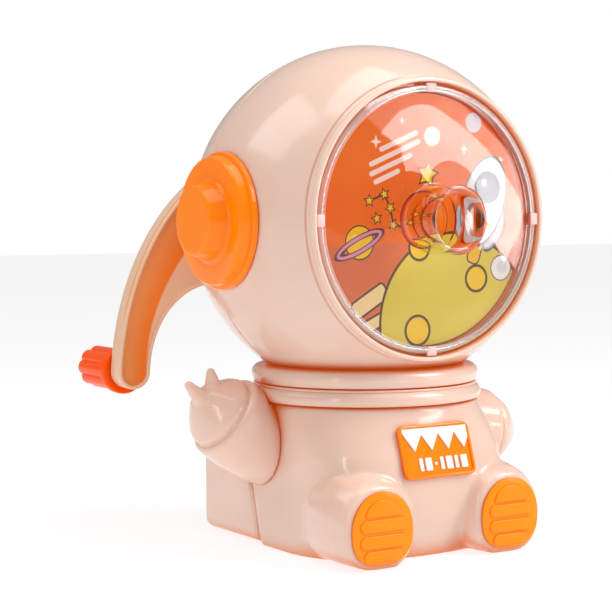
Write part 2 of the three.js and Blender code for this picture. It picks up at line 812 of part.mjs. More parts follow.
// ---------------------------------------------------------------- crank
function crankArm() {
  const end = CRANK_END;
  const degrees = THREE.MathUtils.degToRad;
  const shape = new THREE.Shape();
  shape.moveTo(end.x + end.r, end.z);
  shape.absarc(end.x, end.z, end.r, 0, Math.PI, true);
  shape.bezierCurveTo(-46.5, 72, -31, 95, -8.9, 102.7);
  shape.absarc(0, HEAD_Z, CRANK_HUB_R, degrees(115), degrees(-110), true);
  shape.bezierCurveTo(-24, 71, -38, 60, end.x + end.r, end.z);
  const body = plate(shape, CRANK_FRONT_Y, CRANK_BACK_Y, 0.8, 8);
  const shaftHole = rod(3, 40, 60);
  const capRecess = rod(9, CRANK_BACK_Y - 1.5, 60, 0, HEAD_Z, 24);
  const knobHole = rod(2.1, 40, 60, end.x, end.z, 12);
  const pinRecess = rod(3.2, 40, CRANK_FRONT_Y + 1.4, end.x, end.z, 12);
  return cut(body, shaftHole, capRecess, knobHole, pinRecess);
}

function knob() {
  const flange = rod(6.4, CRANK_BACK_Y + GAP, CRANK_BACK_Y + 4, 0, 0, 24);
  const shape = new THREE.Shape();
  const flutes = 8;
  const steps = 32;
  for (let i = 0; i < steps; i += 1) {
    const angle = (2 * Math.PI * i) / steps;
    const radius = 5.55 + 0.25 * Math.cos(flutes * angle);
    const point = [radius * Math.cos(angle), radius * Math.sin(angle)];
    if (i === 0) shape.moveTo(...point);
    else shape.lineTo(...point);
  }
  const grip = plate(shape, CRANK_BACK_Y + 3, KNOB_END_Y, 1);
  const bore = rod(2.3, 40, 80, 0, 0, 12);
  const headSpace = rod(3.6, KNOB_END_Y - 1.9, 80, 0, 0, 12);
  return cut(join(flange, grip), bore, headSpace).translate(CRANK_END.x, 0, CRANK_END.z);
}

// The pin is riveted in the arm, and its far head keeps the knob on.
function knobPin() {
  const profile = [
    [0, CRANK_FRONT_Y + 0.2],
    [2.8, CRANK_FRONT_Y + 0.2],
    [2.8, CRANK_FRONT_Y + 1.1],
    [1.8, CRANK_FRONT_Y + 1.1],
    [1.8, KNOB_END_Y - 1.5],
    [3.1, KNOB_END_Y - 1.5],
    [3.1, KNOB_END_Y - 0.4],
    [0, KNOB_END_Y - 0.4],
  ];
  return turned(profile, 12).translate(CRANK_END.x, 0, CRANK_END.z);
}

function crankCap() {
  const profile = [
    [2.9, CRANK_BACK_Y - 1.2],
    [8.6, CRANK_BACK_Y - 1.2],
    [8.6, CRANK_BACK_Y + 0.3],
    [8, CRANK_BACK_Y + 0.8],
    [2.9, CRANK_BACK_Y + 0.8],
  ];
  return turnedAlongY(profile, 24);
}

function addCrank() {
  const hubScrew = screw(2.5, 1.2, 1, 5).rotateX(Math.PI).translate(0, CRANK_BACK_Y + 0.6, HEAD_Z);
  add("crank_arm", crankArm(), PEACH());
  add("crank_hub_cap", crankCap(), ORANGE());
  add("crank_screw", hubScrew, STEEL());
  add("knob_pin", knobPin(), STEEL());
  add("crank_knob", knob(), RED_ORANGE());
}

addHead();
addNeck();
addBody();
addArms();
add("shavings_drawer", shavingsDrawer(), PEACH());
addMechanism();
addCrank();

export default group;
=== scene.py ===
# %% [markdown]
# # A hand-cranked pencil sharpener shaped as a small spaceman
# The frame file holds the working model: every part in its place, in metres, with the bodies that move.
# This lesson dresses that frame. Each visible shell is modelled again as smooth moulded plastic, and it
# rides on the same body as the plain part that it stands for.

# %% Load the frame
import json
import math

import bpy
from mathutils import Matrix, Vector


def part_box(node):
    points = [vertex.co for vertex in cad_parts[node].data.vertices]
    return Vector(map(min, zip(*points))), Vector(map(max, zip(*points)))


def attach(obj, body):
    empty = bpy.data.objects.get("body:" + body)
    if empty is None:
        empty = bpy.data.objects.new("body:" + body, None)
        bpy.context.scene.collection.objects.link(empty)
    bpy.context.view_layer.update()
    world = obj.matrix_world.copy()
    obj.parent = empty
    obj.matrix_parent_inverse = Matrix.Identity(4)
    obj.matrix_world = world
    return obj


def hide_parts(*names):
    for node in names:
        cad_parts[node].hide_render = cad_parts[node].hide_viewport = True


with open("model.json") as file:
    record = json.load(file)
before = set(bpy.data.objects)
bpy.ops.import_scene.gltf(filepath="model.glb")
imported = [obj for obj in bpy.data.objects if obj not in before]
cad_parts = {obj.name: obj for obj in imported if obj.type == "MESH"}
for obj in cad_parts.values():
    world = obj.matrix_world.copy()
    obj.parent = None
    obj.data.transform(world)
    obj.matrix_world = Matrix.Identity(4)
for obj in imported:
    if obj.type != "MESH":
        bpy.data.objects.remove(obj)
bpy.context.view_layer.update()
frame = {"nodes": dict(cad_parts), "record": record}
MM = 0.001

# %% [markdown]
# ## Measures that several pieces share
# They are read off the frame where a part's box gives them, so the new shells fit the old places.
# The head is a sphere around the pencil axis, and the pencil axis runs along Y at the head's height.

# %% Shared measures
HEAD_R = 45.0
HEAD_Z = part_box("head_front_shell")[1].z / MM - HEAD_R
HEAD = Vector((0, 0, HEAD_Z))
SEAM_GAP = 0.15  # half of the gap between two shells
BODY_SEAM_Y = 7.0
BODY_SEAM_LEAN = 0.25
BODY_TOP_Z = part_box("body_front_shell")[1].z / MM
DRAWER_TOP_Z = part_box("shavings_drawer")[1].z / MM
BODY_BACK_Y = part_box("shavings_drawer")[1].y / MM
CRANK_FRONT_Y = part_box("crank_arm")[0].y / MM
CRANK_BACK_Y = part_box("crank_arm")[1].y / MM
KNOB_LOW, KNOB_HIGH = (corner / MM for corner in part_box("crank_knob"))
KNOB_X = (KNOB_LOW.x + KNOB_HIGH.x) / 2
KNOB_Z = (KNOB_LOW.z + KNOB_HIGH.z) / 2
print("head centre z", round(HEAD_Z, 2), "knob axis", round(KNOB_X, 2), round(KNOB_Z, 2))

# %% [markdown]
# ## Tools for modelling by hand, in code
# An operator works on whatever is selected, so each tool first clears the selection. A piece is drawn as a
# line of points by extruding one vertex, as with the E key, and is then spun, filled or bridged.


# %% Selecting and applying
def deselect():
    if bpy.context.mode != "OBJECT":
        bpy.ops.object.mode_set(mode="OBJECT")
    bpy.ops.object.select_all(action="DESELECT")


def pick(*objects):
    deselect()
    for obj in objects:
        obj.select_set(True)
    bpy.context.view_layer.objects.active = objects[0]
    return objects[0]


def edit(obj, selected="SELECT"):
    pick(obj)
    bpy.ops.object.mode_set(mode="EDIT")
    bpy.ops.mesh.select_all(action=selected)


def done(obj):
    """Back to object mode, with the piece's place moved into its mesh."""
    pick(obj)
    bpy.ops.object.transform_apply(location=True, rotation=True, scale=True)
    return obj


def apply_modifier(obj, kind, **settings):
    pick(obj)
    modifier = obj.modifiers.new(kind.title(), kind)
    for key, value in settings.items():
        setattr(modifier, key, value)
    bpy.ops.object.modifier_apply(modifier=modifier.name)
    return obj


def closed_and_outward(obj, merge=0.002):
    edit(obj)
    bpy.ops.mesh.remove_doubles(threshold=merge * MM)
    bpy.ops.mesh.normals_make_consistent(inside=False)
    return done(obj)


def soften(obj, width, segments=3, degrees=35):
    """Rounds every edge sharper than an angle."""
    return apply_modifier(
        obj, "BEVEL", width=width * MM, segments=segments, limit_method="ANGLE",
        angle_limit=math.radians(degrees), use_clamp_overlap=True, harden_normals=False,
    )


def combine(obj, others, operation):
    """Joins other solids to a piece, or cuts them from it, and removes them."""
    for other in others:
        apply_modifier(obj, "BOOLEAN", object=other, operation=operation, solver="MANIFOLD")
        bpy.data.objects.remove(other)
    return obj


def cut(obj, *tools):
    return combine(obj, tools, "DIFFERENCE")


def union(obj, *others):
    return combine(obj, others, "UNION")


# %% [markdown]
# ## Outlines
# Most parts of a moulded toy are either turned or cut from a flat outline. Arcs and curves come from small
# formulas, so an outline lists only the points that its shape needs.


# %% Outline formulas
def arc(centre, radius, start, end, steps=12):
    """Points of an arc between two angles in degrees."""
    angles = [math.radians(start + (end - start) * i / steps) for i in range(steps + 1)]
    return [(centre[0] + radius * math.cos(a), centre[1] + radius * math.sin(a)) for a in angles]


def bezier(p0, p1, p2, p3, steps=24):
    points = []
    for i in range(steps + 1):
        t = i / steps
        weights = ((1 - t) ** 3, 3 * t * (1 - t) ** 2, 3 * t * t * (1 - t), t ** 3)
        points.append(tuple(sum(w * p[k] for w, p in zip(weights, (p0, p1, p2, p3))) for k in (0, 1)))
    return points


def sphere_arc(radius, from_y, to_y, steps):
    """Points (radius, y) along the head's round skin."""
    start, end = (math.degrees(math.asin(y / radius)) for y in (from_y, to_y))
    return arc((0, 0), radius, start, end, steps)


def on_sphere(radius, y):
    return (math.sqrt(radius ** 2 - y ** 2), y)


def squarish(half_width, rise, power, start, end, steps):
    """An arc of an ellipse that is squarer the higher its power."""
    points = []
    for x, z in arc((0, 0), 1, start, end, steps):
        across = math.copysign(abs(x) ** (2 / power), x)
        up = math.copysign(abs(z) ** (2 / power), z)
        points.append((half_width * across, rise * up))
    return points


def rounded_rectangle(x0, x1, z0, z1, radius, steps=6):
    corners = [(x1, z0, -90), (x1, z1, 0), (x0, z1, 90), (x0, z0, 180)]
    points = []
    for x, z, start in corners:
        centre = (x - math.copysign(radius, x - x0 - 0.001), z - math.copysign(radius, z - z0 - 0.001))
        points += arc(centre, radius, start, start + 90, steps)
    return points


# %% Drawing, turning and cutting outlines
AXES = {
    "X": (Vector((1, 0, 0)), Vector((0, 0, 1))),
    "Y": (Vector((0, 1, 0)), Vector((1, 0, 0))),
    "Z": (Vector((0, 0, 1)), Vector((1, 0, 0))),
}


def drawn(points, closed=True):
    """A chain of edges through points in millimetres, made by extruding a single vertex."""
    points = [Vector(p) * MM for p in points]
    deselect()
    bpy.ops.mesh.primitive_plane_add(size=MM, location=points[0])
    obj = bpy.context.object
    bpy.ops.object.mode_set(mode="EDIT")
    bpy.ops.mesh.select_all(action="SELECT")
    bpy.ops.mesh.merge(type="CENTER")
    for before, after in zip(points, points[1:] + points[:1] * closed):
        bpy.ops.mesh.extrude_region_move(TRANSFORM_OT_translate={"value": after - before})
    bpy.ops.mesh.select_all(action="SELECT")
    bpy.ops.mesh.remove_doubles(threshold=0.001 * MM)
    return done(obj)


def turned(outline, axis="Z", centre=(0, 0, 0), steps=128):
    """Spins an outline of (radius, height) points once round an axis."""
    along, out = AXES[axis]
    hollow = min(r for r, _ in outline) > 0
    obj = drawn([Vector(centre) + out * r + along * h for r, h in outline], closed=hollow)
    edit(obj)
    bpy.ops.mesh.spin(steps=steps, angle=math.tau, center=Vector(centre) * MM, axis=along)
    return closed_and_outward(obj)


def slab(outline, y0, y1):
    """A flat outline of (x, z) points, filled and extruded from one Y plane to another."""
    obj = drawn([(x, y0, z) for x, z in outline])
    edit(obj)
    bpy.ops.mesh.edge_face_add()
    bpy.ops.mesh.extrude_region_move(TRANSFORM_OT_translate={"value": (0, (y1 - y0) * MM, 0)})
    return closed_and_outward(obj)


def block(x0, x1, y0, y1, z0, z1):
    deselect()
    centre = Vector((x0 + x1, y0 + y1, z0 + z1)) * MM / 2
    bpy.ops.mesh.primitive_cube_add(size=1, location=centre)
    bpy.ops.transform.resize(value=((x1 - x0) * MM, (y1 - y0) * MM, (z1 - z0) * MM))
    return done(bpy.context.object)


def rod(radius, start, end, steps=48):
    """A round cutter or pin between two points."""
    start, end = Vector(start) * MM, Vector(end) * MM
    deselect()
    bpy.ops.mesh.primitive_cylinder_add(
        vertices=steps, radius=radius * MM, depth=(end - start).length, location=(start + end) / 2,
        rotation=(end - start).to_track_quat("Z", "Y").to_euler(),
    )
    return done(bpy.context.object)


def bridged(rings):
    """A skin over rings that all have the same number of points, closed at both ends."""
    loops = [ring if isinstance(ring, bpy.types.Object) else drawn(ring) for ring in rings]
    obj = pick(*loops)
    bpy.ops.object.join()
    edit(obj)
    bpy.ops.mesh.bridge_edge_loops(type="SINGLE", number_cuts=0)
    bpy.ops.mesh.select_all(action="SELECT")
    bpy.ops.mesh.fill_holes(sides=0)
    return closed_and_outward(obj)


def bisected(obj, point, normal):
    """Cuts off what lies on the normal's side of a plane, and closes the cut."""
    edit(obj)
    bpy.ops.mesh.bisect(
        plane_co=Vector(point) * MM, plane_no=Vector(normal), use_fill=True, clear_outer=True
    )
    return done(obj)


# %% [markdown]
# ## Materials as small sums
# A shader is arithmetic on values that change over the surface. The class below wraps one socket, so that a
# plain Python sum adds the Math nodes, and one method makes any other node.


# %% A socket that can be written into sums
class Wire:
    def __init__(self, paint, socket):
        self.paint, self.socket = paint, socket

    def math(self, operation, *others):
        return self.paint.node("ShaderNodeMath", {"operation": operation}, dict(enumerate((self, *others))))

    def __add__(self, other):
        return self.math("ADD", other)

    def __sub__(self, other):
        return self.math("SUBTRACT", other)

    def __rsub__(self, other):
        return self * -1 + other

    def __mul__(self, other):
        return self.math("MULTIPLY", other)

    def __truediv__(self, other):
        return self.math("DIVIDE", other)

    def __pow__(self, other):
        return self.math("POWER", other)

    __radd__, __rmul__ = __add__, __mul__

    def step(self, low, high):
        """0 below low, 1 above high and smooth between."""
        return self.paint.node(
            "ShaderNodeMapRange", {"interpolation_type": "SMOOTHSTEP"},
            {"Value": self, "From Min": low, "From Max": high},
        )


class Paint:
    """A material that is being built."""

    def __init__(self, name):
        self.material = bpy.data.materials.new(name)
        self.material.use_nodes = True
        self.tree = self.material.node_tree
        self.tree.nodes.clear()

    def node(self, kind, settings=None, values=None, output=0):
        node = self.tree.nodes.new(kind)
        for key, value in (settings or {}).items():
            if key == "stops":
                for index, (place, colour) in enumerate(value):
                    known = index < len(node.color_ramp.elements)
                    stop = node.color_ramp.elements[index] if known else node.color_ramp.elements.new(place)
                    stop.position, stop.color = place, (*colour, 1)
            else:
                setattr(node, key, value)
        for key, value in (values or {}).items():
            if isinstance(value, Wire):
                self.tree.links.new(value.socket, node.inputs[key])
            else:
                node.inputs[key].default_value = value
        return Wire(self, node.outputs[output])

    def place(self, centre=(0, 0, 0)):
        """Object coordinates in millimetres about a centre, which is in millimetres too."""
        where = self.node("ShaderNodeTexCoord", output=3)
        return self.node(
            "ShaderNodeMapping", {"vector_type": "POINT"},
            {"Vector": where, "Scale": (1 / MM,) * 3, "Location": tuple(-c for c in centre)},
        )

    def axes(self, vector):
        return [self.node("ShaderNodeSeparateXYZ", {}, {0: vector}, output) for output in range(3)]

    def noise(self, vector, size, detail=2.0, roughness=0.5):
        """Soft noise from 0 to 1 with blobs about size millimetres across."""
        return self.node(
            "ShaderNodeTexNoise", {},
            {"Vector": vector, "Scale": 1 / size, "Detail": detail, "Roughness": roughness},
        )

    def mix(self, factor, first, second):
        """A colour between two others. Colours are given as (r, g, b)."""
        colours = [c if isinstance(c, Wire) else (*c, 1) for c in (first, second)]
        return self.node(
            "ShaderNodeMix", {"data_type": "RGBA"}, {0: factor, 6: colours[0], 7: colours[1]}, output=2
        )

    def surface(self, **sockets):
        shader = self.node("ShaderNodeBsdfPrincipled", {}, sockets)
        output = self.tree.nodes.new("ShaderNodeOutputMaterial")
        self.tree.links.new(shader.socket, output.inputs["Surface"])
        return self.material


# %% [markdown]
# ## Glossy moulded plastic
# ABS toys are cast against polished steel, so the skin is glossy with a very faint orange-peel ripple. The
# pigment drifts a little in the melt, and light soaks a little into the peach plastic. Where nearby walls close
# the surface off, a warmer crease colour is mixed into the base colour as painted crease shade, and a little of
# it glows there as painted light. Bright orange plastic also glows faintly all over its skin, which is painted
# light too.


# %% Plastics
def srgb(*values):
    """A colour from 0 to 255 screen values as the linear values that a shader takes."""
    shares = [v / 255 for v in values]
    return tuple(v / 12.92 if v <= 0.04045 else ((v + 0.055) / 1.055) ** 2.4 for v in shares)


BLACK = (0, 0, 0)
RIPPLE = 0.02  # strength of the orange-peel bump


def moulded(
    name, colour, crease_shade_colour, roughness=0.16, depth=7.0, soak=0.0, painted_glow=0.0, painted_skin_glow=BLACK, coat=0.25, ior=1.5
):
    """Painted crease shade within depth millimetres of other walls, and painted glow: crease colour there, skin
    glow colour elsewhere.
    """
    paint = Paint(name)
    where = paint.place()
    drift = paint.noise(where, 14, 3.0)
    fine = paint.noise(where, 0.9, 2.0)
    scuffs = paint.noise(where, 3.5, 4.0, 0.6).step(0.52, 0.75)
    deeper = tuple(c * k for c, k in zip(colour, (0.97, 0.94, 0.9)))
    pigment = paint.mix(drift.step(0.3, 0.7) * 0.6, colour, deeper)
    # Painted crease shade: ambient occlusion finds where nearby walls close the surface off, and the crease
    # colour is mixed in there.
    openness = paint.node(
        "ShaderNodeAmbientOcclusion", {"samples": 8}, {"Distance": depth * MM}, output=1
    )
    crease_shade_mask = (1 - openness).step(0.18, 0.85)
    values = {
        "Base Color": paint.mix(crease_shade_mask, pigment, crease_shade_colour),
        "Roughness": scuffs * 0.05 + fine * 0.03 + roughness,
        "IOR": ior,
        "Coat Weight": coat,
        "Coat Roughness": 0.06,
        # Painted glow: emission in the crease colour in the creases and in the plastic's skin glow colour
        # elsewhere.
        "Emission Color": paint.mix(crease_shade_mask * crease_shade_mask, painted_skin_glow, crease_shade_colour),
        "Emission Strength": painted_glow,
        "Normal": paint.node(
            "ShaderNodeBump", {}, {"Strength": RIPPLE, "Distance": 0.1 * MM, "Height": fine * 0.5 + drift}
        ),
    }
    if soak:
        values["Subsurface Weight"] = soak
        values["Subsurface Radius"] = (6 * MM, 3 * MM, 2 * MM)
        values["Subsurface Scale"] = 1.0
    return paint.surface(**values)


# Each plastic's third colour is its painted crease shade; the glow value sets how strongly it glows as painted
# light, and the orange plastics glow all over in their own colour.
EAR_ORANGE, FOOT_ORANGE, GRIP_ORANGE = srgb(255, 133, 0), srgb(255, 142, 0), srgb(252, 84, 0)
PEACH = moulded("peach_plastic", srgb(246, 209, 191), srgb(222, 112, 36), soak=0.15, painted_glow=0.13)
ORANGE = moulded(
    "orange_plastic", EAR_ORANGE, srgb(226, 66, 0), 0.14, 5, painted_glow=0.15, painted_skin_glow=EAR_ORANGE, coat=0.1, ior=1.35
)
SOLE_ORANGE = moulded(
    "sole_orange_plastic", FOOT_ORANGE, srgb(236, 96, 0), 0.22, 2, painted_glow=0.12, painted_skin_glow=FOOT_ORANGE, coat=0.05,
    ior=1.3,
)
KNOB_ORANGE = moulded(
    "knob_orange_plastic", GRIP_ORANGE, srgb(200, 30, 0), 0.26, 4, painted_glow=0.14, painted_skin_glow=GRIP_ORANGE, coat=0.0,
    ior=1.22,
)
WHITE = moulded("white_plastic", srgb(232, 230, 224), srgb(180, 172, 160), roughness=0.35, depth=5)
GREY = moulded("grey_plastic", srgb(150, 150, 148), srgb(84, 84, 82), roughness=0.4, depth=6)
SILVER_INK = moulded("white_print", srgb(250, 248, 244), srgb(214, 206, 196), roughness=0.22, depth=2)


# %% [markdown]
# ## Metals
# The shaft, pins and screws are turned steel, with fine rings left by the tool, and the carrier is a grainy
# zinc casting. Both are metals, so their colour is in the reflection.


# %% Steel and zinc
def turned_steel(name, colour, roughness, ring_height):
    paint = Paint(name)
    where = paint.place()
    x, y, z = paint.axes(where)
    grooves = paint.noise(where, 0.25, 2.0)
    rings = (y * 30 + grooves * 2).math("SINE") * 0.5 + 0.5
    stain = paint.noise(where, 5, 4.0)
    return paint.surface(**{
        "Base Color": paint.mix(stain.step(0.45, 0.75) * 0.35, colour, tuple(c * 0.6 for c in colour)),
        "Metallic": 1.0,
        "Roughness": stain * 0.12 + rings * 0.05 + roughness,
        "Normal": paint.node(
            "ShaderNodeBump", {}, {"Strength": 0.15, "Distance": ring_height * MM, "Height": rings}
        ),
    })


STEEL = turned_steel("turned_steel", (0.62, 0.63, 0.65), 0.22, 0.02)
ZINC = turned_steel("cast_zinc", (0.6, 0.6, 0.58), 0.4, 0.03)


# %% [markdown]
# ## Clear plastic
# A thin clear window lets light straight through and mirrors the room more and more towards its edges. That
# is a mirror whose cover over the surface, its alpha, follows the Fresnel curve.


# %% Clear window
def clear_plastic(name, haze, tint, share=1.0, metallic=1.0):
    paint = Paint(name)
    where = paint.place()
    smear = paint.noise(where, 9, 4.0, 0.6).step(0.45, 0.8)
    mirror = paint.node("ShaderNodeFresnel", {}, {"IOR": 1.5}) * share
    return paint.surface(**{
        "Base Color": (*tint, 1),
        "Metallic": metallic,
        "Roughness": smear * 0.06 + 0.02,
        "Alpha": (mirror + smear * 0.012 + haze).math("MINIMUM", 1.0),
    })


CLEAR = clear_plastic("clear_plastic", 0.0, (1.0, 1.0, 1.0))
CLEAR_EDGE = clear_plastic("clear_plastic_edge", 0.06, (1.0, 0.93, 0.9))
CLEAR_RIM = clear_plastic("clear_plastic_rim", 0.3, (1.0, 0.97, 0.95), metallic=0.35)
CLEAR_INSIDE = clear_plastic("clear_plastic_inside", 0.0, (1.0, 1.0, 1.0), 0.15)
SNAP_PINK = moulded("snap_tab_plastic", srgb(248, 205, 200), srgb(230, 140, 120), roughness=0.25, depth=2)


# %% Handing a piece to the frame
def piece(obj, name, body, material, replaces=(), degrees=32):
    """Names a finished shape, gives it its finish and makes it move with a body."""
    pick(obj)
    bpy.ops.object.shade_smooth_by_angle(angle=math.radians(degrees))
    obj.name = obj.data.name = name
    obj.data.materials.clear()
    obj.data.materials.append(material)
    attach(obj, body)
    if replaces:
        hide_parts(*replaces)
    print(name, len(obj.data.polygons), "faces on", body)
    return obj


# %% [markdown]
# ## The camera first
# The camera stands in front of the toy, on the side of its right arm, and looks slightly down. A long lens keeps
# the shapes calm.

# %% Camera
CAMERA_PLACE = Vector((-247.15, -364.91, 85.45)) * MM
CAMERA_YAW, CAMERA_PITCH, CAMERA_ROLL = (math.radians(a) for a in (32.133, -3.141, -0.354))
deselect()
bpy.ops.object.camera_add(location=CAMERA_PLACE)
camera = bpy.context.object
facing = Matrix.Rotation(-CAMERA_YAW, 4, "Z") @ Matrix.Rotation(math.pi / 2 + CAMERA_PITCH, 4, "X")
camera.matrix_world = Matrix.Translation(CAMERA_PLACE) @ facing @ Matrix.Rotation(CAMERA_ROLL, 4, "Z")
camera.data.lens = 99.26
camera.data.sensor_width = 36
bpy.context.scene.camera = camera
print("camera", tuple(round(v, 4) for v in camera.location))

# %% [markdown]
# ## Head
# Two round shells meet behind the ears. Each is turned round the pencil axis as a closed wall: out along the
# sphere, round the lip and back along the inside. The flats for the ear caps and the hole over the neck are
# cut afterwards.


# %% Head shells
EAR_SEAT_X = 41.7
CHUTE_HOLE_R = 14.5


def head_cutters():
    seats = [block(*sorted((s * EAR_SEAT_X, s * 50)), -30, 30, HEAD_Z - 30, HEAD_Z + 30) for s in (-1, 1)]
    pegs = rod(3.3, (-50, 0, HEAD_Z), (50, 0, HEAD_Z))
    chute = rod(CHUTE_HOLE_R, (0, 0, HEAD_Z - HEAD_R - 3), (0, 0, HEAD_Z - HEAD_R + 10))
    return [*seats, pegs, chute]


HEAD_SEAM_Y = 5.0
front_wall = [
    on_sphere(HEAD_R - 0.35, HEAD_SEAM_Y - SEAM_GAP),
    *sphere_arc(HEAD_R, HEAD_SEAM_Y - SEAM_GAP - 0.4, -27.5, 38),
    on_sphere(HEAD_R - 0.3, -27.6),
    on_sphere(HEAD_R - 0.3, -27.9),
    on_sphere(HEAD_R, -28.0),
    on_sphere(HEAD_R, -28.6),
    *arc((34.25, -29.75), 0.72, 25, -120, 6),
    (33.75, -29.9),
    (33.55, -27.2),
    (31.5, -27.2),
    (31.5, -24.4),
    *sphere_arc(HEAD_R - 2, -24.4, HEAD_SEAM_Y - SEAM_GAP, 24),
]
head_front = cut(turned(front_wall, "Y", HEAD, 160), *head_cutters())
piece(head_front, "head_front_shell_skin", "casing", PEACH, ["head_front_shell"])

rear_wall = [
    (5.7, 45.1),
    (11.6, 45.1),
    *arc((11.6, 44.2), 0.9, 90, 20, 4),
    *sphere_arc(HEAD_R, 42.9, HEAD_SEAM_Y + SEAM_GAP + 0.4, 40),
    on_sphere(HEAD_R - 0.35, HEAD_SEAM_Y + SEAM_GAP),
    *sphere_arc(HEAD_R - 2, HEAD_SEAM_Y + SEAM_GAP, 41, 24),
    (5.7, 41.6),
]
head_rear = cut(turned(rear_wall, "Y", HEAD, 160), *head_cutters())
piece(head_rear, "head_rear_shell_skin", "casing", PEACH, ["head_rear_shell"])


# %% [markdown]
# ## Ear caps
# A stepped orange disc snaps onto each side of the head. The real one is a turned shape in the mould: a thin
# flange, a raised face that is slightly dished, and a boss that grows out of it through a small fillet.

# %% Ear caps
EAR_OUTLINE = [
    (0, 42),
    (17.1, 42),
    (17.1, 43),
    (16.85, 43.35),
    (16.2, 43.5),
    (15.9, 45.5),
    (15.5, 46),
    (15.0, 46.1),
    (11.2, 45.75),
    *arc((10.9, 46.95), 1.2, 255, 183, 5),
    (8.75, 50.1),
    *arc((8.1, 50.15), 0.62, 10, 90, 4),
    (7.5, 50.75),
    (0, 50.7),
]


def ear_cap(side):
    outline = [(r, side * x) for r, x in EAR_OUTLINE]
    return turned(outline, "X", HEAD, 144)


for side, name in ((1, "ear_cap_left"), (-1, "ear_cap_right")):
    piece(ear_cap(side), name + "_turned", "casing", ORANGE, [name], degrees=28)

# %% [markdown]
# ## Visor window
# One clear moulding holds the flat window and the short thick tube that guides the pencil. Its rim catches
# the light as a bright ring, so the window, the rim and the tube are modelled as one turned wall with round
# edges. Four small snap tabs hold it in the head.

# %% Window and guide tube
TUBE_END_Y = -41.2
window_wall = [
    (6.6, -28),
    (6.6, TUBE_END_Y + 0.9),
    *arc((7.3, TUBE_END_Y + 0.7), 0.7, 180, 270, 4),
    *arc((7.75, TUBE_END_Y + 0.7), 0.7, 270, 360, 4),
    (8.45, -31.6),
    *arc((9.35, -31.35), 0.95, 180, 95, 5),
    (20, -30.35),
    (28, -30.1),
    (31.2, -29.85),
    *arc((32.2, -28.9), 0.9, 240, 350, 6),
    (33.1, -27.5),
    (31.8, -27.5),
    (31.4, -28.4),
    (20, -28.75),
    (8.45, -28.8),
    (8.45, -28),
]
window = turned(window_wall, "Y", HEAD, 160)
piece(window, "visor_window_and_tube", "casing", CLEAR, ["visor_lens"], degrees=40)
window.data.materials.append(CLEAR_EDGE)
window.data.materials.append(CLEAR_INSIDE)
window.data.materials.append(CLEAR_RIM)
for face in window.data.polygons:
    reach = (face.center / MM - HEAD).xz.length
    tube = reach < 8.6 and face.center.y / MM < -30.6
    face.material_index = 1 if tube else 3 if reach > 31.3 else 2 if face.normal.y > 0.9 else 0

# %% Snap tabs
for index, degrees in enumerate((0, 90, 180, 270)):
    turn = Matrix.Rotation(math.radians(degrees), 3, "Y")
    tab = soften(block(-1.5, 1.5, -29.95, -28.6, 31.2, 33.6), 0.3)
    tab.data.transform(turn.to_4x4())
    tab.data.transform(Matrix.Translation(HEAD * MM))
    piece(tab, f"visor_snap_tab_{index + 1}", "casing", SNAP_PINK)

# %% [markdown]
# ## The printed card
# Behind the window lies a printed disc. Its picture is painted in the shader from circles, bands and stars,
# measured in millimetres about the pencil axis: a warm sky, a large yellow planet with craters, a ringed
# planet, a plain rocket and a few stars.


# %% Shapes of the print
class Print(Paint):
    """Flat inks laid over each other, with a thin brown outline where asked."""

    def __init__(self, name, ground):
        super().__init__(name)
        self.x, _, self.z = self.axes(self.place(HEAD))
        self.ink = (*ground, 1)

    def lay(self, cover, colour):
        self.ink = self.mix(cover, self.ink if isinstance(self.ink, Wire) else self.ink[:3], colour)

    def inside(self, distance, edge=0.0):
        """1 inside a shape, whose distance is negative inside and grows outwards in millimetres."""
        return (edge - distance).step(-0.06, 0.06)

    def shape(self, distance, colour, outline=0.0, outline_colour=(0.02, 0.006, 0.002)):
        if outline:
            self.lay(self.inside(distance, outline), outline_colour)
        self.lay(self.inside(distance), colour)

    def turned_xz(self, centre, degrees):
        """x and z about a centre, turned by an angle."""
        c, s = math.cos(math.radians(degrees)), math.sin(math.radians(degrees))
        dx, dz = self.x - centre[0], self.z - centre[1]
        return dx * c + dz * s, dz * c - dx * s

    def ellipse(self, centre, radii, degrees=0):
        along, across = self.turned_xz(centre, degrees)
        reach = ((along / radii[0]) ** 2 + (across / radii[1]) ** 2) ** 0.5
        return (reach - 1) * min(radii)

    def circle(self, centre, radius):
        return self.ellipse(centre, (radius, radius))

    def bar(self, centre, half, degrees=0, roundness=0.3):
        along, across = self.turned_xz(centre, degrees)
        size = (half[0] - roundness, half[1] - roundness)
        beyond = [v.math("ABSOLUTE") - k for v, k in zip((along, across), size)]
        over = [b.math("MAXIMUM", 0.0) for b in beyond]
        return (over[0] ** 2 + over[1] ** 2) ** 0.5 - roundness

    def star(self, centre, radius, degrees=0, points=5, waist=0.45):
        along, across = self.turned_xz(centre, degrees)
        reach = (along ** 2 + across ** 2) ** 0.5
        angle = across.math("ARCTAN2", along)
        sector = math.tau / points
        folded = ((angle + sector / 2).math("FLOORED_MODULO", sector) - sector / 2).math("ABSOLUTE")
        px, pz = reach * folded.math("COSINE"), reach * folded.math("SINE")
        tip, dip = Vector((radius, 0)), Vector((math.cos(sector / 2), math.sin(sector / 2))) * radius * waist
        side = (dip - tip).normalized()
        return (px - tip.x) * side.y - (pz - tip.y) * side.x


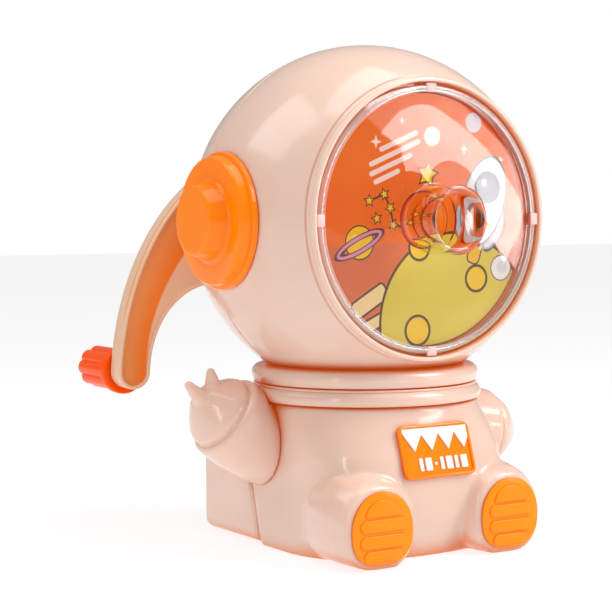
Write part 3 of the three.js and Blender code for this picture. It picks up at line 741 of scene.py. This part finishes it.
# %% The picture
BROWN = srgb(92, 62, 48)
YELLOW = srgb(250, 206, 20)
art = Print("printed_card", srgb(246, 112, 0))
card_place = art.place(HEAD)
art.lay((art.noise(card_place, 16, 2.0)).step(0.35, 0.8) * 0.5, srgb(246, 132, 10))
art.lay((art.z * -1 - 5.4 + art.x * 0.02).step(-0.08, 0.08), srgb(222, 112, 58))
for centre, half, degrees in (((-16.2, -19.6), (5.2, 1.9), 30), ((-15.6, -25.4), (5.4, 1.3), 24)):
    art.shape(art.bar(centre, half, degrees, 0.9), srgb(248, 220, 160), 0.55, BROWN)
art.shape(art.circle((9.5, -26), 22.4), srgb(226, 206, 70), 0.7, BROWN)
for centre, radius in (((-2.0, -27.4), 3.3), ((16.3, -14.9), 2.9), ((-1.4, -6.9), 2.7)):
    art.shape(art.circle(centre, radius), srgb(250, 204, 8), 0.7, BROWN)
print("planet and craters painted")

# %% Small planets and stars
art.shape(art.circle((-19.2, -5.4), 3.9), YELLOW, 0.35, BROWN)
art.shape(art.circle((-20.6, -4.2), 0.8), srgb(252, 228, 120))
ring_outer = art.ellipse((-19.2, -5.9), (7.2, 2.0), 25)
ring_inner = art.ellipse((-19.2, -5.9), (6.3, 1.15), 25)
art.lay(art.inside(ring_outer, 0.25) * (1 - art.inside(ring_inner, -0.25)), BROWN)
art.lay(art.inside(ring_outer) * (1 - art.inside(ring_inner)), srgb(224, 150, 190))
chain = [(-16.3, 4.7), (-11.9, 6.3), (-10.1, 3.0), (-9.2, -1.2), (-5.6, -1.9)]
for (x0, z0), (x1, z1) in zip(chain, chain[1:]):
    length = math.hypot(x1 - x0, z1 - z0)
    tilt = math.degrees(math.atan2(z1 - z0, x1 - x0))
    art.shape(art.bar(((x0 + x1) / 2, (z0 + z1) / 2), (length / 2, 0.26), tilt, 0.2), BROWN)
for index, (x, z) in enumerate(chain + [(-14.1, 0.4)]):
    art.shape(art.star((x, z), 1.15, 90 + 17 * index), YELLOW, 0.28, BROWN)
art.shape(art.star((1.1, 11.2), 2.9, 80, 5, 0.52), YELLOW, 0.4, BROWN)
for centre, size in (((-14.3, 19.0), 1.7), ((12.5, 17.6), 1.3), ((24, 15), 1.2), ((-6.5, 24.3), 1.0)):
    art.shape(art.star(centre, size, 90, 4, 0.35), srgb(255, 246, 236))
print("stars painted")

# %% A comet, a moon and a plain rocket
for row, (z, reach) in enumerate(((19.3, 6.2), (16.6, 8.2), (13.9, 6.8), (11.2, 4.2))):
    art.shape(art.bar((-7.5 - row * 1.2, z - row * 0.2), (reach, 0.62), 22, 0.6), srgb(252, 240, 228))
art.shape(art.circle((2.6, 20.6), 2.3), srgb(255, 246, 236), 0.3, srgb(214, 150, 90))
art.shape(art.circle((15.5, 24.3), 2.5), srgb(226, 226, 238))
PALE, SHADE, LINE = srgb(246, 244, 246), srgb(196, 194, 204), srgb(120, 112, 122)
art.shape(art.bar((16.0, -7.6), (1.7, 3.4), -18, 1.2), srgb(250, 190, 30), 0.4, BROWN)
for side in (-1, 1):
    fin = art.ellipse((17.0 + side * 4.9, -1.6 - side * 1.6), (2.2, 4.9), -18 - side * 14)
    art.shape(fin, SHADE, 0.4, LINE)
art.shape(art.ellipse((18.6, 4.6), (6.3, 11.2), -18), PALE, 0.45, LINE)
art.shape(art.circle((19.9, 8.0), 3.7), srgb(128, 126, 138), 0.45, LINE)
art.shape(art.circle((18.8, 9.2), 1.0), srgb(214, 214, 224))
art.shape(art.bar((17.6, -0.6), (3.4, 0.5), -18, 0.4), srgb(250, 150, 30))
art.shape(art.circle((24.2, -12.4), 3.0), PALE, 0.35, LINE)
art.shape(art.circle((24.6, -12.2), 1.7), srgb(222, 220, 230))
print("rocket painted")

# %% The card itself
paper = art.noise(card_place, 0.35, 2.0)
art.surface(**{
    "Base Color": art.ink,
    # The card glows faintly in its own ink colours, which is painted light.
    "Emission Color": art.ink,
    "Emission Strength": 0.3,
    "Specular IOR Level": 0.2,
    "Roughness": paper * 0.1 + 0.4,
    "Normal": art.node("ShaderNodeBump", {}, {"Strength": 0.04, "Distance": 0.05 * MM, "Height": paper}),
})
card_wall = [(7.3, -26.5), (30.9, -26.5), (31.2, -26.3), (31.2, -25.9), (7.3, -25.9)]
card = turned(card_wall, "Y", HEAD, 128)
piece(card, "printed_face_card", "casing", art.material, ["face_card"])

# %% Guide bush behind the tube
bush_wall = [(4.3, -19.8), (4.3, -25.4), (5.8, -26.9), *arc((6.5, -26.6), 0.4, 270, 360, 4), (6.8, -26.2),
             (6.8, -19.8)]
bush = turned(bush_wall, "Y", HEAD, 96)
piece(bush, "pencil_guide_bush_turned", "casing", ORANGE, ["pencil_guide_bush"])

# %% [markdown]
# ## Neck
# Two moulded rings hide the joint between the head and the body. The groove between them has a thin bead, and
# the groove under the head is deep, so the plastic's painted crease shade and painted glow turn it orange there.

# %% Neck rings
HEAD_CLEAR = HEAD_R + 0.4
seat = [(r, HEAD_Z - math.sqrt(HEAD_CLEAR ** 2 - r ** 2)) for r in (26.4, 25, 23, 20)]
neck_wall = [
    (20, 42.02),
    (27.7, 42.02),
    (27.8, 42.3),
    (28.6, 42.3),
    *arc((28.7, 42.8), 0.5, 270, 350, 4),
    (29.45, 43.6),
    *squarish(2.4, 2.4, 2.0, 10, 80, 8)[:0],
    *arc((27.3, 44.25), 2.3, 0, 84, 10),
    (27.0, 46.68),
    *seat,
]
neck = turned(neck_wall, "Z", steps=144)
piece(neck, "neck_ring_turned", "casing", PEACH, ["neck_ring"])
collar_wall = [
    (22, 37.65),
    (27.6, 37.65),
    (27.7, 37.9),
    (29.6, 37.9),
    *arc((29.55, 38.55), 0.6, 275, 350, 4),
    (30.3, 39.2),
    (30.2, 39.9),
    (29.7, 40.8),
    (28.95, 41.35),
    *arc((28.75, 41.62), 0.36, 280, 450, 6),
    (27.6, 41.95),
    (22, 41.95),
]
collar = turned(collar_wall, "Z", steps=144)
piece(collar, "body_collar_turned", "casing", PEACH, ["body_collar"])

# %% [markdown]
# ## Body
# The front of the body and both sitting legs are one shell. It is built as three closed skins, bridged through
# outlines at several heights or depths, and then joined. A voxel remesh and a smoothing pass melt the joints into
# the soft blends that a mould maker would cut, and they round the rims too.

# %% Body outlines
BODY_LEVELS = [  # height, half width, depth in front of the neck axis, squareness
    (-3, 27.2, 26.9, 2.7),
    (0, 27.9, 27.9, 2.7),
    (4, 28.3, 29.4, 2.9),
    (10, 28.4, 31.6, 3.3),
    (15, 28.4, 32.5, 3.6),
    (20, 28.4, 32.9, 3.8),
    (26, 28.4, 31.4, 3.7),
    (31, 28.4, 29.8, 3.0),
    (35, 28.4, 28.9, 2.4),
    (37.6, 28.2, 28.6, 2.2),
    (40, 28.0, 28.4, 2.2),
]
LEG_X = 19.4
LEG_ROWS = [(-12, 8, 20), (-18, 10.2, 22.4), (-24, 11.1, 23), (-29, 11.2, 22.6), (-33, 10.6, 21.6),
            (-34.9, 9.9, 20.5), (-35.8, 9.2, 19.6)]


def seam_y(z):
    return BODY_SEAM_Y + BODY_SEAM_LEAN * z


def body_ring(z, half_width, depth, power, inset=0.0, behind=6.0):
    front = squarish(half_width - inset, depth - inset, power, 180, 360, 48)
    back = seam_y(z) + behind
    corners = [(half_width - inset, back), (-half_width + inset, back)]
    return [(x, y, z) for x, y in front + corners]


def leg_ring(side, y, half_width, top):
    lower = squarish(half_width, top / 2, 2.8, 180, 360, 24)
    upper = squarish(half_width, top / 2, 2.1, 0, 180, 24)
    return [(side * LEG_X + x, y, z + top / 2) for x, z in lower[:-1] + upper[:-1]]


# %% Front body shell
body = bridged([body_ring(*level) for level in BODY_LEVELS])
legs = [bridged([leg_ring(side, *row) for row in LEG_ROWS]) for side in (-1, 1)]
union(body, *legs)
bisected(body, (0, 0, 0), (0, 0, -1))
bisected(body, (0, 0, BODY_TOP_Z), (0, 0, 1))
seam_normal = Vector((0, 1, -BODY_SEAM_LEAN)).normalized()
bisected(body, (0, seam_y(0) - SEAM_GAP, 0), seam_normal)
apply_modifier(body, "REMESH", mode="VOXEL", voxel_size=0.5 * MM)
apply_modifier(body, "SMOOTH", factor=0.5, iterations=14)
hollow_levels = [level for level in BODY_LEVELS if level[0] < 35]
hollow = bridged([body_ring(*level, inset=2.2, behind=9) for level in hollow_levels])
cut(body, hollow, rod(CHUTE_HOLE_R, (0, 0, 33), (0, 0, 42)))
piece(body, "body_front_and_legs", "casing", PEACH, ["body_front_shell"], degrees=50)

# %% [markdown]
# ## Rear box
# Behind the leaning seam the body is a plain box. Its lower part is the shavings drawer, which slides out
# backwards, and its upper part is a fixed roof. Both are cut along the seam by the same wedge, and the front rim
# of the drawer is rounded beside it.


# %% Roof and drawer
def front_of_seam(offset):
    outline = [(-60, -20), (seam_y(-20) + offset, -20), (seam_y(80) + offset, 80), (-60, 80)]
    wedge = slab(outline, -50, 50)
    wedge.data.transform(Matrix.Rotation(math.pi / 2, 4, "Z"))
    return closed_and_outward(wedge)


BODY_HALF_W = 28.4


def rear_box(bottom_z, corner):
    """A box with round long edges and a rounder back, from in front of the seam to the back."""
    outline = rounded_rectangle(-BODY_HALF_W, BODY_HALF_W, bottom_z, BODY_TOP_Z, corner)
    return soften(slab(outline, -4, BODY_BACK_Y), 2.4, 5, 60)


roof = rear_box(DRAWER_TOP_Z - 12, 5)
bisected(roof, (0, 0, DRAWER_TOP_Z + 0.3), (0, 0, -1))
cut(roof, front_of_seam(SEAM_GAP))
soften(roof, 0.35, 3, 50)
cut(roof, block(-26, 26, 0, BODY_BACK_Y - 2.4, 20, 35.4), rod(CHUTE_HOLE_R, (0, 0, 30), (0, 0, 42)))
piece(roof, "body_rear_roof", "casing", PEACH, ["body_rear_shell"], degrees=30)

drawer = rear_box(0.4, 3)
bisected(drawer, (0, 0, DRAWER_TOP_Z), (0, 0, 1))
cut(drawer, front_of_seam(SEAM_GAP))
soften(drawer, 2.0, 5, 50)
union(drawer, soften(block(-18, 18, -17.5, 15, 2.6, 24), 1.2))
cut(
    drawer,
    block(-16.2, 16.2, -15.7, BODY_BACK_Y - 2.4, 4.2, 40),
    block(-26, 26, 16.9, BODY_BACK_Y - 2.4, 4.2, 40),
    block(-16.6, 16.6, -20, 34.6, -5, 2.6),
)
piece(drawer, "shavings_drawer_box", "drawer", PEACH, ["shavings_drawer"], degrees=30)

# %% [markdown]
# ## Soles
# Each foot ends in an orange sole. Raised bars with round ends run across it, and an arched bar sits at the toe.
# The bars are separate humps joined to the sole, so that the light catches the groove under each one.

# %% Soles with raised bars
SOLE_FRONT_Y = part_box("sole_left")[0].y / MM
SOLE_BACK_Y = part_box("sole_left")[1].y / MM
SOLE_Z = 9.8
SOLE_BARS = [(-6.15, 5.6, 1.35), (-2.75, 6.7, 1.55), (1.15, 6.7, 1.55)]  # height, half length, half thickness


def sole(side):
    centre_x = side * LEG_X
    upper = squarish(8.8, 9.3, 2.0, 0, 180, 32)
    lower = squarish(8.8, 8.3, 2.7, 180, 360, 32)
    outline = [(centre_x + x, SOLE_Z + z) for x, z in upper[:-1] + lower[:-1]]
    made = soften(slab(outline, SOLE_FRONT_Y + 0.4, SOLE_BACK_Y), 0.25, 2)
    for z, half, thick in SOLE_BARS:
        ends = arc((half - thick, z), thick, -90, 90, 8) + arc((thick - half, z), thick, 90, 270, 8)
        bar = slab([(centre_x + x, SOLE_Z + h) for x, h in ends], SOLE_FRONT_Y, SOLE_FRONT_Y + 0.6)
        union(made, soften(bar, 0.38, 3))
    toe = squarish(5.2, 4.1, 2.0, 0, 180, 16)
    toe_bar = slab([(centre_x + x, SOLE_Z + 3.3 + z) for x, z in toe], SOLE_FRONT_Y, SOLE_FRONT_Y + 0.6)
    return union(made, soften(toe_bar, 0.38, 3))


for side, name in ((1, "sole_left"), (-1, "sole_right")):
    piece(sole(side), name + "_ribbed", "casing", SOLE_ORANGE, [name], degrees=40)

# %% [markdown]
# ## Chest plate
# An orange badge lies against the sloping chest. It has a raised rim, a white saw-toothed band along the top
# edge and a row of plain raised marks below it.

# %% Plate, band and marks
PLATE_CENTRE = Vector((0, -31.55, 26.9))
PLATE_TILT = Matrix.Rotation(math.radians(-18), 4, "X")
PLATE_HALF_W, PLATE_HALF_H = 10.7, 6.7


def on_chest(obj):
    obj.data.transform(Matrix.Translation(PLATE_CENTRE * MM) @ PLATE_TILT)
    return obj


def plate_outline(inset, radius):
    width, height = PLATE_HALF_W - inset, PLATE_HALF_H - inset
    return rounded_rectangle(-width, width, -height, height, radius)


plate = soften(slab(plate_outline(0, 1.8), -0.55, 0.55), 0.3)
cut(plate, slab(plate_outline(0.8, 1.1), -0.9, -0.25))
piece(on_chest(plate), "chest_badge", "casing", ORANGE, ["chest_plate"], degrees=30)

tips = (-6.8, -1.6, 3.4, 8.2)
band = [(-9.75, 5.75), (-9.75, 4.7)]
for tip, peak in zip(tips, (-4.2, 0.9, 5.8)):
    band += [(tip, 0.1), (peak, 4.2)]
band += [(tips[-1], 0.1), (9.75, 2.6), (9.75, 5.75)]
piece(on_chest(slab(band, -0.62, -0.15)), "badge_saw_band", "casing", SILVER_INK, degrees=20)
for index, (x, width, height) in enumerate(
    ((-5.6, 0.5, 1.6), (-3.4, 0.95, 1.6), (-1.2, 0.4, 0.4), (0.7, 0.5, 1.6), (2.9, 0.95, 1.6), (5.1, 0.5, 1.6),
     (7.4, 0.95, 1.6))
):
    mark = slab(rounded_rectangle(x - width, x + width, -3.3 - height, -3.3 + height, 0.3, 3), -0.62, -0.15)
    piece(on_chest(mark), f"badge_mark_{index + 1}", "casing", SILVER_INK, degrees=20)

# %% [markdown]
# ## Arms
# A sleeve widens out of the body and ends in a soft rim. Out of the rim grows a mitten with two small horns.
# Sleeve, mitten and horns are bridged from circles, joined, and melted together by a fine voxel remesh.


# %% Arms
def hoop(centre, normal, radius, steps=72):
    deselect()
    turn = Vector(normal).to_track_quat("Z", "Y").to_euler()
    bpy.ops.mesh.primitive_circle_add(
        vertices=steps, radius=radius * MM, location=Vector(centre) * MM, rotation=turn
    )
    return done(bpy.context.object)


def horn(start, end):
    start, end = Vector(start), Vector(end)
    along = end - start
    sizes = ((-0.4, 2.7), (0, 2.2), (0.4, 1.8), (0.8, 1.2), (0.95, 0.9), (1.0, 0.5))
    return bridged([hoop(start + along * t, along, r, 32) for t, r in sizes])


def arm(shoulder, cuff, direction, horns):
    shoulder, cuff, direction = Vector(shoulder), Vector(cuff), Vector(direction).normalized()
    outward = Vector((math.copysign(1, shoulder.x), 0, 0))
    rings = []
    for t, radius in ((0, 12.2), (0.3, 11.9), (0.6, 11.5), (0.85, 11.2)):
        normal = outward.lerp(direction, min(1, t * 1.3)).normalized()
        rings.append(hoop(shoulder.lerp(cuff, t), normal, radius))
    for t, radius in ((-0.5, 11.05), (0.1, 10.9), (0.5, 10.5), (0.7, 9.8)):
        rings.append(hoop(cuff + direction * t, direction, radius))
    sleeve = bridged(rings)
    profile = ((-1.5, 8.8), (0.9, 8.9), (1.5, 9.5), (2.6, 9.55), (4.2, 8.6), (6, 6.9), (7.6, 5.2), (8.8, 3.7),
               (9.6, 2.3), (9.9, 1.0))
    mitten = bridged([hoop(cuff + direction * t, direction, r) for t, r in profile])
    union(sleeve, mitten, *[horn(*ends) for ends in horns])
    apply_modifier(sleeve, "REMESH", mode="VOXEL", voxel_size=0.35 * MM)
    apply_modifier(sleeve, "SMOOTH", factor=0.5, iterations=6)
    return cut(sleeve, rod(30.8, (0, 0, 37.4), (0, 0, 42.2), 128))


right_arm = arm(
    (-28.45, 7.5, 27.8), (-38.6, 6, 34.4), (-0.8, 0, 0.6),
    (((-42.2, 5.6, 41.6), (-43.2, 5.2, 46.8)), ((-46, 4.5, 39.2), (-50.2, 5, 43.6))),
)
piece(right_arm, "arm_right_moulded", "casing", PEACH, ["arm_right"], degrees=60)
left_arm = arm(
    (28.45, 6.5, 27.2), (42, 4.5, 25.5), (0.98, -0.1, -0.15),
    (((48.5, 8, 23), (51.5, 12.5, 22)), ((47, 6, 18.5), (49.5, 9.5, 15))),
)
piece(left_arm, "arm_left_moulded", "casing", PEACH, ["arm_left"], degrees=60)

# %% [markdown]
# ## Crank
# The crank is a curved arm with a shallow pocket in its front. The pocket floor is painted with shade and orange
# bounce light that grow stronger towards its inner edge, which the material paints from the arm's own
# coordinates.

# %% Crank arm
crank_outline = [
    *arc((KNOB_X, KNOB_Z), 4.7, 0, -180, 20),
    *bezier((KNOB_X - 4.7, KNOB_Z), (-46.5, 72), (-31, 95), (-8.9, HEAD_Z + 19), 40)[1:],
    *arc((0, HEAD_Z), 21, 115, -110, 48)[1:],
    *bezier((-7.2, HEAD_Z - 19.7), (-24, 71), (-38, 60), (KNOB_X + 4.7, KNOB_Z), 32)[1:-1],
]
crank = slab(crank_outline, CRANK_FRONT_Y, CRANK_BACK_Y)
edit(crank, "DESELECT")
bpy.ops.mesh.select_mode(type="FACE")
bpy.ops.object.mode_set(mode="OBJECT")
for polygon in crank.data.polygons:
    polygon.select = polygon.normal.y < -0.9
bpy.ops.object.mode_set(mode="EDIT")
bpy.ops.mesh.inset(thickness=1.0 * MM)
bpy.ops.mesh.extrude_region_move(TRANSFORM_OT_translate={"value": (0, 1.4 * MM, 0)})
bpy.ops.mesh.select_mode(type="VERT")
done(crank)
soften(crank, 0.5, 3, 50)
cut(
    crank,
    rod(3, (0, 40, HEAD_Z), (0, 60, HEAD_Z)),
    rod(9, (0, CRANK_BACK_Y - 1.5, HEAD_Z), (0, 60, HEAD_Z), 96),
    rod(2.1, (KNOB_X, CRANK_FRONT_Y + 2.3, KNOB_Z), (KNOB_X, 60, KNOB_Z)),
    rod(3.0, (KNOB_X, CRANK_FRONT_Y + 2.3, KNOB_Z), (KNOB_X, CRANK_FRONT_Y + 3.6, KNOB_Z)),
)
print("crank arm", len(crank.data.polygons), "faces")

# %% Crank plastic
tint = Paint("crank_plastic")
crank_place = tint.place((0, 0, KNOB_Z))
cx, cy, cz = tint.axes(crank_place)
climb = cz * cz
outer_edge = climb * 0.0055 - 48.3
inner_edge = climb * 0.0125 - 38.9
across = (cx - outer_edge) / (inner_edge - outer_edge)
below_rim = cy.step(CRANK_FRONT_Y + 0.4, CRANK_FRONT_Y + 1.2)
pocket = below_rim * (1 - cy.step(CRANK_FRONT_Y + 1.5, CRANK_FRONT_Y + 1.8))
pocket = pocket * across.step(0.06, 0.12) * (1 - across.step(0.9, 0.96))
# Painted shade and orange bounce light on the pocket floor: pale orange at the outer edge, deep orange at the
# inner edge.
pale, pocket_shade_pale, pocket_shade_deep = srgb(250, 206, 172), srgb(246, 164, 98), srgb(255, 128, 4)
pocket_painted_shade = tint.mix(across.step(0.15, 0.95), pocket_shade_pale, pocket_shade_deep)
fine = tint.noise(crank_place, 0.9)
drift = tint.noise(crank_place, 12, 3.0)
CRANK_PLASTIC = tint.surface(**{
    "Base Color": tint.mix(pocket, tint.mix(drift * 0.4, pale, srgb(238, 188, 152)), pocket_painted_shade),
    "Roughness": fine * 0.06 + 0.17,
    "IOR": 1.5,
    "Coat Weight": 0.25,
    "Coat Roughness": 0.06,
    "Normal": tint.node("ShaderNodeBump", {}, {"Strength": 0.02, "Distance": 0.1 * MM, "Height": fine + drift}),
})
piece(crank, "crank_arm_moulded", "crank", CRANK_PLASTIC, ["crank_arm"], degrees=35)

# %% Hub cap
hub_wall = [(2.9, 51.2), (8.6, 51.2), (8.6, 52.6), *arc((8.0, 52.6), 0.6, 0, 90, 5), (7.2, 53.05), (2.9, 53.05)]
hub = turned(hub_wall, "Y", HEAD, 96)
piece(hub, "crank_hub_cap_turned", "crank", ORANGE, ["crank_hub_cap"])

# %% [markdown]
# ## Knob
# The knob turns freely on its pin. Its grip is fluted, so the outline is a circle whose radius rises and falls
# eight times, and a smooth flange faces the arm.

# %% Fluted knob
KNOB_BACK_Y = KNOB_HIGH.y
flutes = []
for i in range(128):
    angle = math.tau * i / 128
    lobe = abs(math.cos(4 * angle)) ** 0.6
    radius = 4.95 + 0.85 * lobe
    flutes.append((KNOB_X + radius * math.cos(angle), KNOB_Z + radius * math.sin(angle)))
grip = slab(flutes, 55.5, KNOB_BACK_Y)
soften(grip, 0.9, 4, 60)
flange_wall = [(2.3, 52.7), (5.9, 52.7), *arc((5.8, 53.3), 0.6, 275, 355, 4), *arc((5.7, 55.4), 0.7, 0, 90, 5),
               (5.2, 56.4), (2.3, 56.4)]
union(grip, turned(flange_wall, "Y", (KNOB_X, 0, KNOB_Z), 96))
bore = rod(2.3, (KNOB_X, 50, KNOB_Z), (KNOB_X, 75, KNOB_Z))
head_space = rod(3.6, (KNOB_X, 69.1, KNOB_Z), (KNOB_X, 75, KNOB_Z))
cut(grip, bore, head_space)
piece(grip, "crank_knob_fluted", "knob", KNOB_ORANGE, ["crank_knob"], degrees=40)

# %% Knob pin
pin_wall = [(0, 49.1), (2.7, 49.1), (2.7, 49.9), (1.8, 50.1), (1.8, 69.5), (3.0, 69.5),
            *arc((2.6, 70.1), 0.5, 0, 90, 4), (0, 70.6)]
pin = turned(pin_wall, "Y", (KNOB_X, 0, KNOB_Z), 64)
PIN_BACK_Y, CROSS_DEPTH = 70.6, 0.7
for width, height in ((1.7, 0.35), (0.35, 1.7)):  # a cross recess in the rear head
    across_x, across_z = (KNOB_X - width, KNOB_X + width), (KNOB_Z - height, KNOB_Z + height)
    cut(pin, block(*across_x, PIN_BACK_Y - CROSS_DEPTH, PIN_BACK_Y + 1, *across_z))
piece(pin, "knob_pin_turned", "crank", STEEL, ["knob_pin"])

# %% [markdown]
# ## Working parts and screws
# The shaft, the cutter and its gear, the bushes, the chute and the screws keep their plain shapes. Each takes
# the finish of its real material.

# %% Finishes of the plain parts
FINISHES = {
    "peach_plastic": PEACH, "orange_plastic": ORANGE, "red_orange_plastic": KNOB_ORANGE,
    "clear_plastic": CLEAR, "printed_card": art.material, "grey_plastic": GREY, "white_plastic": WHITE,
    "steel": STEEL, "zinc_casting": ZINC,
}
for part in frame["record"]["subparts"]:
    node = frame["nodes"][part["node"]]
    node.data.materials.clear()
    node.data.materials.append(FINISHES[part["material_slot"]])
print("finishes given to", len(frame["nodes"]), "frame parts")

# %% [markdown]
# ## Floor and light
# The toy stands on a plain pale floor that glows a little, as on a light table. Soft lamps stand round it: a
# narrow strip at the left, a rim lamp behind, a wide one overhead and a key lamp at the right. A small strip at
# the right front lays a pale sheen over the upper right of the window. The sky shows white to the camera and
# lights the toy at a third of that, so the shaded side keeps its colour.

# %% Floor
deselect()
bpy.ops.mesh.primitive_plane_add(size=6, location=(0, 0, 0))
floor = bpy.context.object
floor.name = "floor"
ground = Paint("floor_paint")
speckle = ground.noise(ground.place(), 40, 3.0)
floor.data.materials.append(ground.surface(**{
    "Base Color": ground.mix(speckle * 0.2, (0.22, 0.22, 0.22), (0.2, 0.2, 0.2)),
    "Roughness": 0.7,
    "Specular IOR Level": 0.1,
    "Emission Color": (1, 1, 1, 1),
    "Emission Strength": 0.82,
}))

# %% Lamps
def softbox(name, place, size, power, roll=0.0, target=(0, 0, 0.07)):
    deselect()
    place = Vector(place)
    aim = (Vector(target) - place).to_track_quat("-Z", "Y").to_matrix()
    turn = aim @ Matrix.Rotation(math.radians(roll), 3, "Z")
    bpy.ops.object.light_add(type="AREA", location=place, rotation=turn.to_euler())
    lamp = bpy.context.object
    lamp.name = name
    lamp.data.shape = "RECTANGLE"
    lamp.data.size, lamp.data.size_y = size
    lamp.data.energy = power


softbox("strip_at_left", (-0.6, -0.3, 0.25), (0.06, 0.4), 0.4)
softbox("rim_from_left", (-0.42, 0.2, 0.62), (0.4, 0.4), 1.1)
softbox("overhead", (0.05, -0.1, 0.75), (0.6, 0.5), 2.1)
softbox("key_at_right", (0.36, -0.36, 0.5), (0.3, 0.3), 2.5)
WINDOW_SPOT = (0, -0.03, HEAD_Z * MM)
softbox("sheen_on_window", (0.406, -0.52, 0.132), (0.21, 0.07), 0.34, roll=-42, target=WINDOW_SPOT)
world = bpy.data.worlds.new("studio")
bpy.context.scene.world = world
world.use_nodes = True
sky = world.node_tree
background = sky.nodes["Background"]
background.inputs["Color"].default_value = (1, 1, 1, 1)
seen = sky.nodes.new("ShaderNodeLightPath")
strength = sky.nodes.new("ShaderNodeMapRange")
strength.inputs["To Min"].default_value = 0.33
strength.inputs["To Max"].default_value = 1.0
sky.links.new(seen.outputs["Is Camera Ray"], strength.inputs["Value"])
sky.links.new(strength.outputs["Result"], background.inputs["Strength"])
bpy.context.scene.view_settings.view_transform = "Standard"
print("lamps placed")
